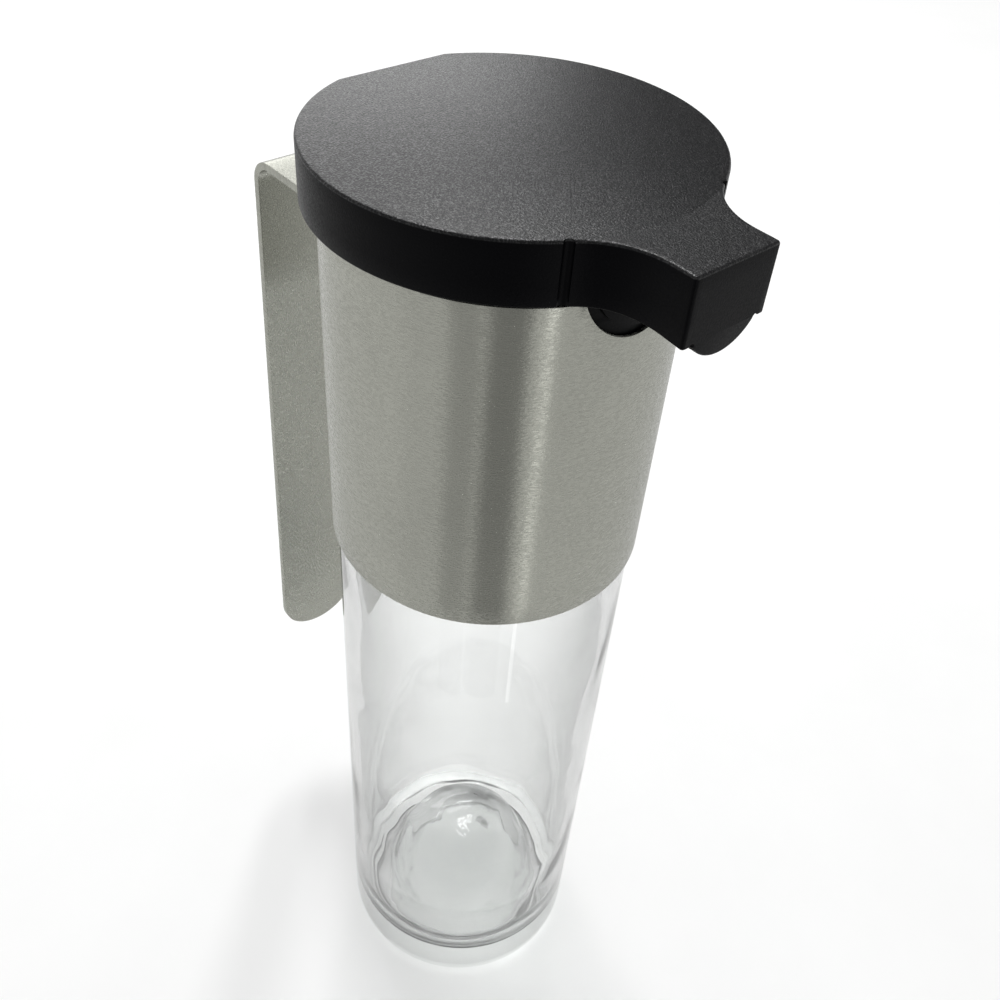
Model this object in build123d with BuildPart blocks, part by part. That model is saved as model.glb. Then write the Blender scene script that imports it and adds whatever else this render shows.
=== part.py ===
from build123d import *

import os
from math import asin, cos, radians, sin, sqrt, tan

# Oil and vinegar dispenser with a hinged pouring lid.
# Millimetres, +Z up, origin on the bottle's axis where it stands.
# +X points out of the spout, the strap handle is on the -X side.

os.makedirs("parts", exist_ok=True)

# Clearances
FIT_GAP = 0.1
PIN_GAP = 0.05
SWING_GAP = 0.3
SEAT_GAP = 0.3
PRESS_GAP = 0.01
CUT_PAST = 1.0

# Glass bottle
GLASS_RADIUS = 24.2
GLASS_WALL = 2.4
GLASS_HEIGHT = 150.0
NECK_STEP = 1.2
NECK_LENGTH = 21.0
NECK_TAPER = 3.0
HEEL_RADIUS = 3.2
FOOT_WIDTH = 1.2
PUNT_HEIGHT = 20.5
PUNT_FLOOR = 5.5
DOME_WAIST_RADIUS = 14.4
DOME_WAIST_DROP = 9.5
WELL_HEIGHT = 8.0
WELL_SETBACK = 3.2
WALL_FOOT_RISE = 6.0
RIM_ROUND = 0.8

# Pouring head
HEAD_HEIGHT = 19.6
HEAD_WALL = 1.8
FLANGE_HEIGHT = 2.0
MOUTH_GASKET_HEIGHT = 1.0
DECK_GASKET_HEIGHT = 0.8
DECK_GASKET_WIDTH = 1.6
DECK_HEIGHT = 1.8
PLUG_WALL = 1.8
PLUG_LENGTH = 14.0
PLUG_SHOULDER_GAP = 0.4
BULKHEAD_WALL = 1.5
POCKET_LENGTH = 14.5
POCKET_DEPTH = 7.2
SHELF_HEIGHT = 2.5

# Silicone rings round the plug
RING_SECTION = 1.6
RING_GROOVE_DEPTH = 1.1
RING_GROOVE_MARGIN = 0.1
RING_DROPS = (4.5, 9.5)

# Steel sleeve
SLEEVE_GAP = 0.2
SLEEVE_WALL = 0.6
SLEEVE_OVERLAP = 30.8
SLEEVE_RIM_RISE = 0.8
SLEEVE_EDGE_ROUND = 0.2
NOTCH_MARGIN = 1.4
NOTCH_DROP = 0.2

# Lid
LID_OVERHANG = 2.1
LID_GAP = 1.3
LID_HEIGHT = 8.35
LID_TOP_WALL = 1.6
LID_WALL = 1.4
LID_EDGE_ROUND = 0.4
LID_FLAT_INSET = 1.5
BEAK_LENGTH = 9.9
BEAK_SIDE_GAP = 1.0
BEAK_FLARE_RADIUS = 11.0
BEAK_CORNER_ROUND = 0.5
BEAK_DROP = 0.85
NICK_RADIUS = 0.7
NICK_SETBACK = 0.1
TONGUE_MARGIN = 1.6
TONGUE_LIFT = 1.4
LID_RIB_Y = 11.0
LID_RIB_WALL = 1.2
LID_RIB_HALF_LENGTH = 17.0
LID_RIB_SETBACK = 0.7

# Lid hinge
PIN_RISE = 2.7
PIN_RADIUS = 1.0
PIN_END_SETBACK = 0.2
PIN_END_CHAMFER = 0.2
KNUCKLE_WALL = 1.1
KNUCKLE_HALF_WIDTH = 4.0
CHEEK_WALL = 2.2
KNUCKLE_TOE = 1.4
KNUCKLE_NOTCH_RISE = 0.7

# Spout
TROUGH_OUTER_RADIUS = 4.6
TROUGH_WALL = 1.1
TROUGH_LIFT = 3.2
TROUGH_RISE = 1.9
TROUGH_START_X = 8.0
TROUGH_BACK_WALL = 1.2
POUR_OPENING_LENGTH = 8.8
POUR_OPENING_MARGIN = 0.6
LIP_SLANT = 3.0
COLLAR_WIDTH = 2.6
COLLAR_DEPTH = 5.3
PAD_HEIGHT = 0.5
PAD_MARGIN = 0.1
PAD_RISE = 0.8

# Strap handle
STRAP_HALF_WIDTH = 9.25
STRAP_THICKNESS = 1.2
STRAP_LENGTH = 121.4
STRAP_LEAN_DEG = 3.15
STRAP_BEND_RADIUS = 4.5
STRAP_TAB_GAP = 2.0
STRAP_SLOT_GAP = 0.15
HANDLE_GAP = 24.2

# Screws
STRAP_SCREW_RADIUS = 1.5
STRAP_SCREW_LENGTH = 8.0
STRAP_SCREW_HEAD_RADIUS = 2.6
STRAP_SCREW_HEAD_HEIGHT = 1.7
STRAP_SCREW_SETBACK = 5.5
STRAP_SCREW_Y = 5.0
STRAP_BOSS_RADIUS = 3.2
STRAP_BOSS_DROP = 6.0
DECK_SCREW_RADIUS = 1.0
DECK_SCREW_LENGTH = 7.0
DECK_SCREW_HEAD_RADIUS = 2.0
COUNTERSINK_ANGLE = 90.0
DECK_SCREW_INSET = 2.5
DECK_SCREW_ANGLES = (55.0, 125.0, 235.0, 305.0)
DECK_BOSS_RADIUS = 2.6
DECK_BOSS_HEIGHT = 9.0
RECESS_WIDTH = 0.5
RECESS_DEPTH = 0.7
SCREW_HEAD_ROUND = 0.6

# Vent tube
VENT_RADIUS = 2.0
VENT_BORE = 1.2
VENT_X = -2.0
VENT_Y = 12.0
VENT_LENGTH = 53.2
VENT_BOSS_WALL = 1.3
VENT_BOSS_DROP = 5.0

# Bumpers under the lid ribs
BUMPER_RADIUS = 2.2
BUMPER_X = 13.0
BUMPER_ROUND = 0.4

# Radii and lengths that follow from the sizes above, outwards from the glass
glass_inner = GLASS_RADIUS - GLASS_WALL
neck_radius = GLASS_RADIUS - NECK_STEP
neck_inner = neck_radius - GLASS_WALL
sleeve_inner = GLASS_RADIUS + SLEEVE_GAP
sleeve_radius = sleeve_inner + SLEEVE_WALL
head_radius = sleeve_inner - FIT_GAP
head_inner = head_radius - HEAD_WALL
bulkhead_x = POCKET_LENGTH - head_inner
ring_outer = neck_inner - FIT_GAP
plug_radius = neck_inner - PLUG_SHOULDER_GAP
plug_bore = plug_radius - PLUG_WALL
lid_radius = sleeve_radius + LID_OVERHANG
lid_flat_x = LID_FLAT_INSET - lid_radius
beak_front_x = lid_radius + BEAK_LENGTH
beak_inner_x = beak_front_x - LID_WALL
beak_half_width = TROUGH_OUTER_RADIUS + BEAK_SIDE_GAP + LID_WALL
lip_x = beak_inner_x - PAD_HEIGHT - SEAT_GAP
trough_inner_radius = TROUGH_OUTER_RADIUS - TROUGH_WALL
collar_radius = TROUGH_OUTER_RADIUS + COLLAR_WIDTH
collar_start_x = head_radius - COLLAR_DEPTH
notch_radius = collar_radius + NOTCH_MARGIN
tongue_radius = TROUGH_OUTER_RADIUS + TONGUE_MARGIN
knuckle_radius = PIN_RADIUS + KNUCKLE_WALL
cheek_inner = KNUCKLE_HALF_WIDTH + SWING_GAP
pin_half_length = cheek_inner + CHEEK_WALL - PIN_END_SETBACK
pin_x = lid_flat_x + LID_WALL + FIT_GAP + PIN_RADIUS
strap_reach = sleeve_radius + HANDLE_GAP + STRAP_THICKNESS
strap_tab_end_x = bulkhead_x - BULKHEAD_WALL - STRAP_TAB_GAP
strap_screw_x = strap_tab_end_x - STRAP_SCREW_SETBACK
strap_screw_spots = [(strap_screw_x, STRAP_SCREW_Y), (strap_screw_x, -STRAP_SCREW_Y)]
deck_screw_head_height = (DECK_SCREW_HEAD_RADIUS - DECK_SCREW_RADIUS) / tan(radians(COUNTERSINK_ANGLE / 2))
deck_screw_circle = head_inner - DECK_SCREW_INSET
deck_screw_spots = [
    (deck_screw_circle * cos(radians(a)), deck_screw_circle * sin(radians(a)))
    for a in DECK_SCREW_ANGLES
]
bumper_spots = [(BUMPER_X, LID_RIB_Y), (BUMPER_X, -LID_RIB_Y)]

# Heights that follow from the sizes above, upwards from the glass
neck_start_z = GLASS_HEIGHT - NECK_LENGTH
head_bottom_z = GLASS_HEIGHT + MOUTH_GASKET_HEIGHT
head_top_z = head_bottom_z + HEAD_HEIGHT
deck_bottom_z = head_top_z + DECK_GASKET_HEIGHT
deck_top_z = deck_bottom_z + DECK_HEIGHT
sleeve_bottom_z = GLASS_HEIGHT - SLEEVE_OVERLAP
sleeve_top_z = deck_top_z + SLEEVE_RIM_RISE
strap_top_z = head_top_z - POCKET_DEPTH
strap_end_z = strap_top_z - STRAP_LENGTH
shelf_top_z = strap_top_z - STRAP_THICKNESS
trough_z = deck_top_z + TROUGH_LIFT
trough_top_z = trough_z + TROUGH_RISE
notch_z = trough_z - NOTCH_DROP
tongue_z = trough_z + TONGUE_LIFT
lid_bottom_z = sleeve_top_z + LID_GAP
lid_top_z = lid_bottom_z + LID_HEIGHT
lid_under_z = lid_top_z - LID_TOP_WALL
lid_rib_bottom_z = lid_bottom_z + LID_RIB_SETBACK
beak_bottom_z = lid_bottom_z - BEAK_DROP
pin_z = lid_bottom_z + PIN_RISE
vent_low_z = deck_top_z - VENT_LENGTH

# Glass bottle: straight barrel, thick base pushed up into a dome, open neck
foot_outer = GLASS_RADIUS - HEEL_RADIUS
foot_inner = foot_outer - FOOT_WIDTH
well_radius = glass_inner - WELL_SETBACK
dome_top_z = PUNT_HEIGHT + PUNT_FLOOR
wall_foot_z = WELL_HEIGHT + WALL_FOOT_RISE
with BuildPart() as glass_bottle:
    with BuildSketch(Plane.XZ):
        with BuildLine():
            Line((0, PUNT_HEIGHT), (0, dome_top_z))
            Spline(
                (0, dome_top_z),
                (DOME_WAIST_RADIUS, dome_top_z - DOME_WAIST_DROP),
                (well_radius, WELL_HEIGHT),
                (glass_inner, wall_foot_z),
                tangents=[(1, 0), (0, 1)],
            )
            Line((glass_inner, wall_foot_z), (glass_inner, neck_start_z - NECK_TAPER))
            Line((glass_inner, neck_start_z - NECK_TAPER), (neck_inner, neck_start_z))
            Line((neck_inner, neck_start_z), (neck_inner, GLASS_HEIGHT))
            Line((neck_inner, GLASS_HEIGHT), (neck_radius, GLASS_HEIGHT))
            Line((neck_radius, GLASS_HEIGHT), (neck_radius, neck_start_z))
            Line((neck_radius, neck_start_z), (GLASS_RADIUS, neck_start_z - NECK_TAPER))
            Line((GLASS_RADIUS, neck_start_z - NECK_TAPER), (GLASS_RADIUS, HEEL_RADIUS))
            RadiusArc((GLASS_RADIUS, HEEL_RADIUS), (foot_outer, 0), HEEL_RADIUS)
            Line((foot_outer, 0), (foot_inner, 0))
            Spline(
                (foot_inner, 0),
                (0, PUNT_HEIGHT),
                tangents=[(-1, 1), (-1, 0)],
                tangent_scalars=[1.1, 1.4],
            )
        make_face()
    revolve(axis=Axis.Z)
    rim_edges = glass_bottle.edges().filter_by(GeomType.CIRCLE).group_by(Axis.Z)[-1]
    fillet(rim_edges, RIM_ROUND)
glass_bottle.part.label = "glass_bottle"
export_step(glass_bottle.part, "parts/glass_bottle.step")

# Mouth gasket: flat ring between the glass rim and the pouring head
with BuildPart() as mouth_gasket:
    with BuildSketch(Plane.XY.offset(GLASS_HEIGHT)):
        Circle(neck_radius - FIT_GAP)
        Circle(neck_inner, mode=Mode.SUBTRACT)
    extrude(amount=MOUTH_GASKET_HEIGHT)
mouth_gasket.part.label = "mouth_gasket"
export_step(mouth_gasket.part, "parts/mouth_gasket.step")

# Pouring head: plug in the bottle's neck, flange, wall, and a dry pocket for the handle
shelf_bottom_z = shelf_top_z - SHELF_HEIGHT
groove_floor = plug_radius - RING_GROOVE_DEPTH
groove_height = RING_SECTION + 2 * RING_GROOVE_MARGIN
with BuildPart() as pour_head:
    with BuildSketch(Plane.XY.offset(head_bottom_z)):
        Circle(head_radius)
    extrude(amount=head_top_z - head_bottom_z)
    with BuildSketch(Plane.XY.offset(head_bottom_z + FLANGE_HEIGHT)):
        Circle(head_inner)
    extrude(amount=head_top_z - head_bottom_z - FLANGE_HEIGHT, mode=Mode.SUBTRACT)
    with BuildSketch(Plane.XY.offset(head_bottom_z - PLUG_LENGTH)):
        Circle(plug_radius)
    extrude(amount=PLUG_LENGTH + FLANGE_HEIGHT)
    with BuildSketch(Plane.XY.offset(head_bottom_z - PLUG_LENGTH)):
        Circle(plug_bore)
    extrude(amount=PLUG_LENGTH + FLANGE_HEIGHT, mode=Mode.SUBTRACT)
    # Shelf that carries the handle's tab, and the bulkhead that keeps it dry
    with BuildSketch(Plane.XY.offset(shelf_bottom_z)):
        Circle(head_radius - HEAD_WALL / 2)
        with Locations((bulkhead_x, 0)):
            Rectangle(head_radius, 2 * head_radius, align=(Align.MAX, Align.CENTER), mode=Mode.INTERSECT)
    extrude(amount=SHELF_HEIGHT)
    with BuildSketch(Plane.XY.offset(shelf_bottom_z)):
        Circle(head_radius - HEAD_WALL / 2)
        with Locations((bulkhead_x, 0)):
            Rectangle(BULKHEAD_WALL, 2 * head_radius, align=(Align.MAX, Align.CENTER), mode=Mode.INTERSECT)
    extrude(amount=head_top_z - shelf_bottom_z)
    # Bosses for the deck screws and the handle screws
    with BuildSketch(Plane.XY.offset(head_top_z - DECK_BOSS_HEIGHT)):
        with Locations(*deck_screw_spots):
            Circle(DECK_BOSS_RADIUS)
    extrude(amount=DECK_BOSS_HEIGHT)
    with BuildSketch(Plane.XY.offset(shelf_bottom_z - STRAP_BOSS_DROP)):
        with Locations(*strap_screw_spots):
            Circle(STRAP_BOSS_RADIUS)
    extrude(amount=STRAP_BOSS_DROP)
    with BuildSketch(Plane.XY.offset(head_top_z)):
        with Locations(*deck_screw_spots):
            Circle(DECK_SCREW_RADIUS + PIN_GAP)
    extrude(amount=-DECK_SCREW_LENGTH, mode=Mode.SUBTRACT)
    with BuildSketch(Plane.XY.offset(shelf_top_z)):
        with Locations(*strap_screw_spots):
            Circle(STRAP_SCREW_RADIUS + PIN_GAP)
    extrude(amount=-STRAP_SCREW_LENGTH, mode=Mode.SUBTRACT)
    # Slot in the wall for the handle's tab
    with BuildSketch(Plane.YZ.offset(-head_radius - CUT_PAST)):
        with Locations((0, shelf_top_z)):
            Rectangle(
                2 * (STRAP_HALF_WIDTH + STRAP_SLOT_GAP),
                STRAP_THICKNESS + STRAP_SLOT_GAP,
                align=(Align.CENTER, Align.MIN),
            )
    extrude(amount=CUT_PAST + head_radius + bulkhead_x - BULKHEAD_WALL, mode=Mode.SUBTRACT)
    # Grooves for the two silicone rings
    for drop in RING_DROPS:
        with BuildSketch(Plane.XY.offset(head_bottom_z - drop - groove_height / 2)):
            Circle(plug_radius)
            Circle(groove_floor, mode=Mode.SUBTRACT)
        extrude(amount=groove_height, mode=Mode.SUBTRACT)
pour_head.part.label = "pour_head"
export_step(pour_head.part, "parts/pour_head.step")

# Silicone rings that seal the plug in the neck
ring_half_radial = (ring_outer - groove_floor) / 2
for ring_name, drop in zip(("upper_plug_ring", "lower_plug_ring"), RING_DROPS):
    with BuildPart() as plug_ring:
        with BuildSketch(Plane.XZ):
            with Locations((groove_floor + ring_half_radial, head_bottom_z - drop)):
                Ellipse(ring_half_radial, RING_SECTION / 2)
        revolve(axis=Axis.Z)
    plug_ring.part.label = ring_name
    export_step(plug_ring.part, f"parts/{ring_name}.step")

# Deck gasket: flat ring between the pouring head and the spout deck
with BuildPart() as deck_gasket:
    with BuildSketch(Plane.XY.offset(head_top_z)):
        Circle(head_radius)
        Circle(head_radius - DECK_GASKET_WIDTH, mode=Mode.SUBTRACT)
        with Locations((bulkhead_x, 0)):
            Rectangle(BULKHEAD_WALL, 2 * head_inner, align=(Align.MAX, Align.CENTER))
    extrude(amount=DECK_GASKET_HEIGHT)
deck_gasket.part.label = "deck_gasket"
export_step(deck_gasket.part, "parts/deck_gasket.step")

# Spout deck: cover of the head with the pouring trough, its collar and the hinge knuckle
knuckle_back_x = -sqrt(head_radius**2 - KNUCKLE_HALF_WIDTH**2)
knuckle_toe_x = pin_x + knuckle_radius + KNUCKLE_TOE
with BuildPart() as spout_deck:
    # Collar that fills the sleeve's notch, flush with the sleeve
    with BuildSketch(Plane.YZ.offset(collar_start_x)):
        with Locations((0, trough_z)):
            Circle(collar_radius)
        with Locations((0, trough_top_z)):
            Rectangle(
                2 * collar_radius,
                2 * collar_radius,
                align=(Align.CENTER, Align.MIN),
                mode=Mode.SUBTRACT,
            )
    extrude(amount=lid_radius - collar_start_x)
    with BuildSketch(Plane.XY.offset(deck_bottom_z - collar_radius)):
        Circle(sleeve_radius)
    extrude(amount=4 * collar_radius, mode=Mode.INTERSECT)
    with BuildSketch(Plane.XY.offset(deck_bottom_z)):
        Circle(head_radius + FIT_GAP)
    extrude(amount=-collar_radius, mode=Mode.SUBTRACT)
    with BuildSketch(Plane.XY.offset(deck_bottom_z)):
        Circle(head_radius)
    extrude(amount=DECK_HEIGHT)
    # Trough
    with BuildSketch(Plane.YZ.offset(TROUGH_START_X)):
        with Locations((0, trough_z)):
            Circle(TROUGH_OUTER_RADIUS)
            Rectangle(
                2 * TROUGH_OUTER_RADIUS,
                TROUGH_OUTER_RADIUS,
                align=(Align.CENTER, Align.MIN),
                mode=Mode.SUBTRACT,
            )
            Rectangle(2 * TROUGH_OUTER_RADIUS, TROUGH_RISE, align=(Align.CENTER, Align.MIN))
    extrude(amount=lip_x - TROUGH_START_X)
    with BuildSketch(Plane.YZ.offset(TROUGH_START_X + TROUGH_BACK_WALL)):
        with Locations((0, trough_z)):
            Circle(trough_inner_radius)
            Rectangle(2 * trough_inner_radius, collar_radius, align=(Align.CENTER, Align.MIN))
    extrude(amount=beak_front_x - TROUGH_START_X, mode=Mode.SUBTRACT)
    # Slanted pouring lip
    with BuildSketch(Plane.XZ):
        with BuildLine():
            Polyline(
                (lip_x - LIP_SLANT, trough_top_z),
                (lip_x, trough_z - TROUGH_OUTER_RADIUS),
                (beak_front_x, trough_z - TROUGH_OUTER_RADIUS),
                (beak_front_x, trough_top_z),
                close=True,
            )
        make_face()
    extrude(amount=2 * TROUGH_OUTER_RADIUS, both=True, mode=Mode.SUBTRACT)
    # Pouring opening in the trough's floor
    opening_start_x = TROUGH_START_X + TROUGH_BACK_WALL
    opening_half = trough_inner_radius - POUR_OPENING_MARGIN
    with BuildSketch(Plane.XY.offset(deck_bottom_z - collar_radius)):
        with Locations((opening_start_x, 0)):
            Rectangle(
                POUR_OPENING_LENGTH,
                2 * opening_half,
                align=(Align.MIN, Align.CENTER),
            )
    extrude(amount=trough_top_z - deck_bottom_z + collar_radius, mode=Mode.SUBTRACT)
    # Hinge knuckle
    with BuildSketch(Plane.XZ):
        with BuildLine():
            Polyline(
                (knuckle_back_x, deck_bottom_z),
                (knuckle_toe_x, deck_bottom_z),
                (knuckle_toe_x, deck_top_z),
                (pin_x + knuckle_radius, pin_z),
                (pin_x, pin_z),
                (knuckle_back_x, pin_z - knuckle_radius),
                close=True,
            )
        make_face()
        with Locations((pin_x, pin_z)):
            Circle(knuckle_radius)
    extrude(amount=KNUCKLE_HALF_WIDTH, both=True)
    with BuildSketch(Plane.XZ):
        with Locations((pin_x, pin_z)):
            Circle(PIN_RADIUS + PIN_GAP)
    extrude(amount=KNUCKLE_HALF_WIDTH, both=True, mode=Mode.SUBTRACT)
    # Boss and hole for the vent tube
    with BuildSketch(Plane.XY.offset(deck_bottom_z)):
        with Locations((VENT_X, VENT_Y)):
            Circle(VENT_RADIUS + VENT_BOSS_WALL)
    extrude(amount=-VENT_BOSS_DROP)
    with BuildSketch(Plane.XY.offset(deck_top_z)):
        with Locations((VENT_X, VENT_Y)):
            Circle(VENT_RADIUS + PIN_GAP)
    extrude(amount=-DECK_HEIGHT - VENT_BOSS_DROP, mode=Mode.SUBTRACT)
    # Countersunk holes for the deck screws
    with Locations(Plane.XY.offset(deck_top_z)):
        with Locations(*deck_screw_spots):
            CounterSinkHole(
                DECK_SCREW_RADIUS + PIN_GAP,
                DECK_SCREW_HEAD_RADIUS + PIN_GAP,
                depth=DECK_HEIGHT,
                counter_sink_angle=COUNTERSINK_ANGLE,
            )
spout_deck.part.label = "spout_deck"
export_step(spout_deck.part, "parts/spout_deck.step")

# Deck screws: countersunk, cross recess
with BuildPart() as deck_screws:
    for spot in deck_screw_spots:
        with Locations(Plane.XY.offset(deck_top_z)):
            with Locations(spot):
                Cone(
                    DECK_SCREW_RADIUS,
                    DECK_SCREW_HEAD_RADIUS,
                    deck_screw_head_height,
                    align=(Align.CENTER, Align.CENTER, Align.MAX),
                )
                Cylinder(
                    DECK_SCREW_RADIUS,
                    DECK_SCREW_LENGTH,
                    align=(Align.CENTER, Align.CENTER, Align.MAX),
                )
    with BuildSketch(Plane.XY.offset(deck_top_z)):
        with Locations(*deck_screw_spots):
            Rectangle(2 * DECK_SCREW_RADIUS, RECESS_WIDTH)
            Rectangle(RECESS_WIDTH, 2 * DECK_SCREW_RADIUS)
    extrude(amount=-RECESS_DEPTH, mode=Mode.SUBTRACT)
deck_screws.part.label = "deck_screws"
export_step(deck_screws.part, "parts/deck_screws.step")

# Vent tube: lets air into the bottle while it pours
with BuildPart() as vent_tube:
    with BuildSketch(Plane.XY.offset(vent_low_z)):
        with Locations((VENT_X, VENT_Y)):
            Circle(VENT_RADIUS)
            Circle(VENT_BORE, mode=Mode.SUBTRACT)
    extrude(amount=deck_top_z - vent_low_z)
vent_tube.part.label = "vent_tube"
export_step(vent_tube.part, "parts/vent_tube.step")

# Deck bumpers: two silicone studs that the lid's ribs come down on
with BuildPart() as deck_bumpers:
    with BuildSketch(Plane.XY.offset(deck_top_z)):
        with Locations(*bumper_spots):
            Circle(BUMPER_RADIUS)
    extrude(amount=lid_rib_bottom_z - SEAT_GAP - deck_top_z)
    fillet(deck_bumpers.edges().group_by(Axis.Z)[-1], BUMPER_ROUND)
deck_bumpers.part.label = "deck_bumpers"
export_step(deck_bumpers.part, "parts/deck_bumpers.step")

# Steel sleeve: thin tube with the spout's notch in front and the handle's slot behind
slot_half = STRAP_HALF_WIDTH + STRAP_SLOT_GAP
with BuildPart() as steel_sleeve:
    with BuildSketch(Plane.XY.offset(sleeve_bottom_z)):
        Circle(sleeve_radius)
    extrude(amount=sleeve_top_z - sleeve_bottom_z)
    fillet(steel_sleeve.edges().filter_by(GeomType.CIRCLE), SLEEVE_EDGE_ROUND)
    with BuildSketch(Plane.XY.offset(sleeve_bottom_z)):
        Circle(sleeve_inner)
    extrude(amount=sleeve_top_z - sleeve_bottom_z, mode=Mode.SUBTRACT)
    with BuildSketch(Plane.YZ):
        with Locations((0, notch_z)):
            Circle(notch_radius)
    extrude(amount=sleeve_radius + CUT_PAST, mode=Mode.SUBTRACT)
    with BuildSketch(Plane.YZ):
        with Locations((0, shelf_top_z - STRAP_SLOT_GAP)):
            Rectangle(2 * slot_half, STRAP_THICKNESS + 2 * STRAP_SLOT_GAP, align=(Align.CENTER, Align.MIN))
    extrude(amount=-sleeve_radius - CUT_PAST, mode=Mode.SUBTRACT)
steel_sleeve.part.label = "steel_sleeve"
export_step(steel_sleeve.part, "parts/steel_sleeve.step")

# Strap handle: one flat strip, bent over at the top and leaning out a little
lean = radians(STRAP_LEAN_DEG)
strap_drop = strap_top_z - strap_end_z
inner_corner_in = STRAP_THICKNESS * (1 - sin(lean)) / cos(lean)
outer_end = (-strap_reach - strap_drop * tan(lean), strap_end_z)
inner_end = (outer_end[0] + STRAP_THICKNESS * cos(lean), outer_end[1] - STRAP_THICKNESS * sin(lean))
strap_face = Plane(
    origin=(outer_end[0], 0, outer_end[1]),
    x_dir=(0, 1, 0),
    z_dir=(cos(lean), 0, -sin(lean)),
)
with BuildPart() as handle_strap:
    with BuildSketch(Plane.XZ):
        with BuildLine():
            FilletPolyline(
                (strap_tab_end_x, strap_top_z),
                (-strap_reach, strap_top_z),
                outer_end,
                radius=STRAP_BEND_RADIUS,
            )
            Line(outer_end, inner_end)
            FilletPolyline(
                inner_end,
                (-strap_reach + inner_corner_in, strap_top_z - STRAP_THICKNESS),
                (strap_tab_end_x, strap_top_z - STRAP_THICKNESS),
                radius=STRAP_BEND_RADIUS - STRAP_THICKNESS,
            )
            Line((strap_tab_end_x, strap_top_z - STRAP_THICKNESS), (strap_tab_end_x, strap_top_z))
        make_face()
    extrude(amount=STRAP_HALF_WIDTH, both=True)
    # Round lower end
    with BuildSketch(strap_face):
        Rectangle(
            2 * STRAP_HALF_WIDTH + CUT_PAST,
            STRAP_HALF_WIDTH + CUT_PAST,
            align=(Align.CENTER, Align.MAX),
        )
        Rectangle(2 * STRAP_HALF_WIDTH + CUT_PAST, STRAP_HALF_WIDTH, align=(Align.CENTER, Align.MIN))
        with Locations((0, STRAP_HALF_WIDTH)):
            Circle(STRAP_HALF_WIDTH, mode=Mode.SUBTRACT)
    extrude(amount=2 * STRAP_THICKNESS, both=True, mode=Mode.SUBTRACT)
    with BuildSketch(Plane.XY.offset(strap_top_z)):
        with Locations(*strap_screw_spots):
            Circle(STRAP_SCREW_RADIUS + PIN_GAP)
    extrude(amount=-STRAP_THICKNESS, mode=Mode.SUBTRACT)
handle_strap.part.label = "handle_strap"
export_step(handle_strap.part, "parts/handle_strap.step")

# Handle screws: round heads on the tab, cross recess
with BuildPart() as handle_screws:
    with BuildSketch(Plane.XY.offset(strap_top_z)):
        with Locations(*strap_screw_spots):
            Circle(STRAP_SCREW_HEAD_RADIUS)
    extrude(amount=STRAP_SCREW_HEAD_HEIGHT)
    fillet(handle_screws.edges().group_by(Axis.Z)[-1], SCREW_HEAD_ROUND)
    with BuildSketch(Plane.XY.offset(strap_top_z)):
        with Locations(*strap_screw_spots):
            Circle(STRAP_SCREW_RADIUS)
    extrude(amount=-STRAP_SCREW_LENGTH)
    with BuildSketch(Plane.XY.offset(strap_top_z + STRAP_SCREW_HEAD_HEIGHT)):
        with Locations(*strap_screw_spots):
            Rectangle(2 * STRAP_SCREW_RADIUS, RECESS_WIDTH)
            Rectangle(RECESS_WIDTH, 2 * STRAP_SCREW_RADIUS)
    extrude(amount=-RECESS_DEPTH, mode=Mode.SUBTRACT)
handle_screws.part.label = "handle_screws"
export_step(handle_screws.part, "parts/handle_screws.step")

# Hinge pin
with BuildPart() as hinge_pin:
    with BuildSketch(Plane.XZ):
        with Locations((pin_x, pin_z)):
            Circle(PIN_RADIUS)
    extrude(amount=pin_half_length, both=True)
    chamfer(hinge_pin.edges().filter_by(GeomType.CIRCLE), PIN_END_CHAMFER)
hinge_pin.part.label = "hinge_pin"
export_step(hinge_pin.part, "parts/hinge_pin.step")

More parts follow.
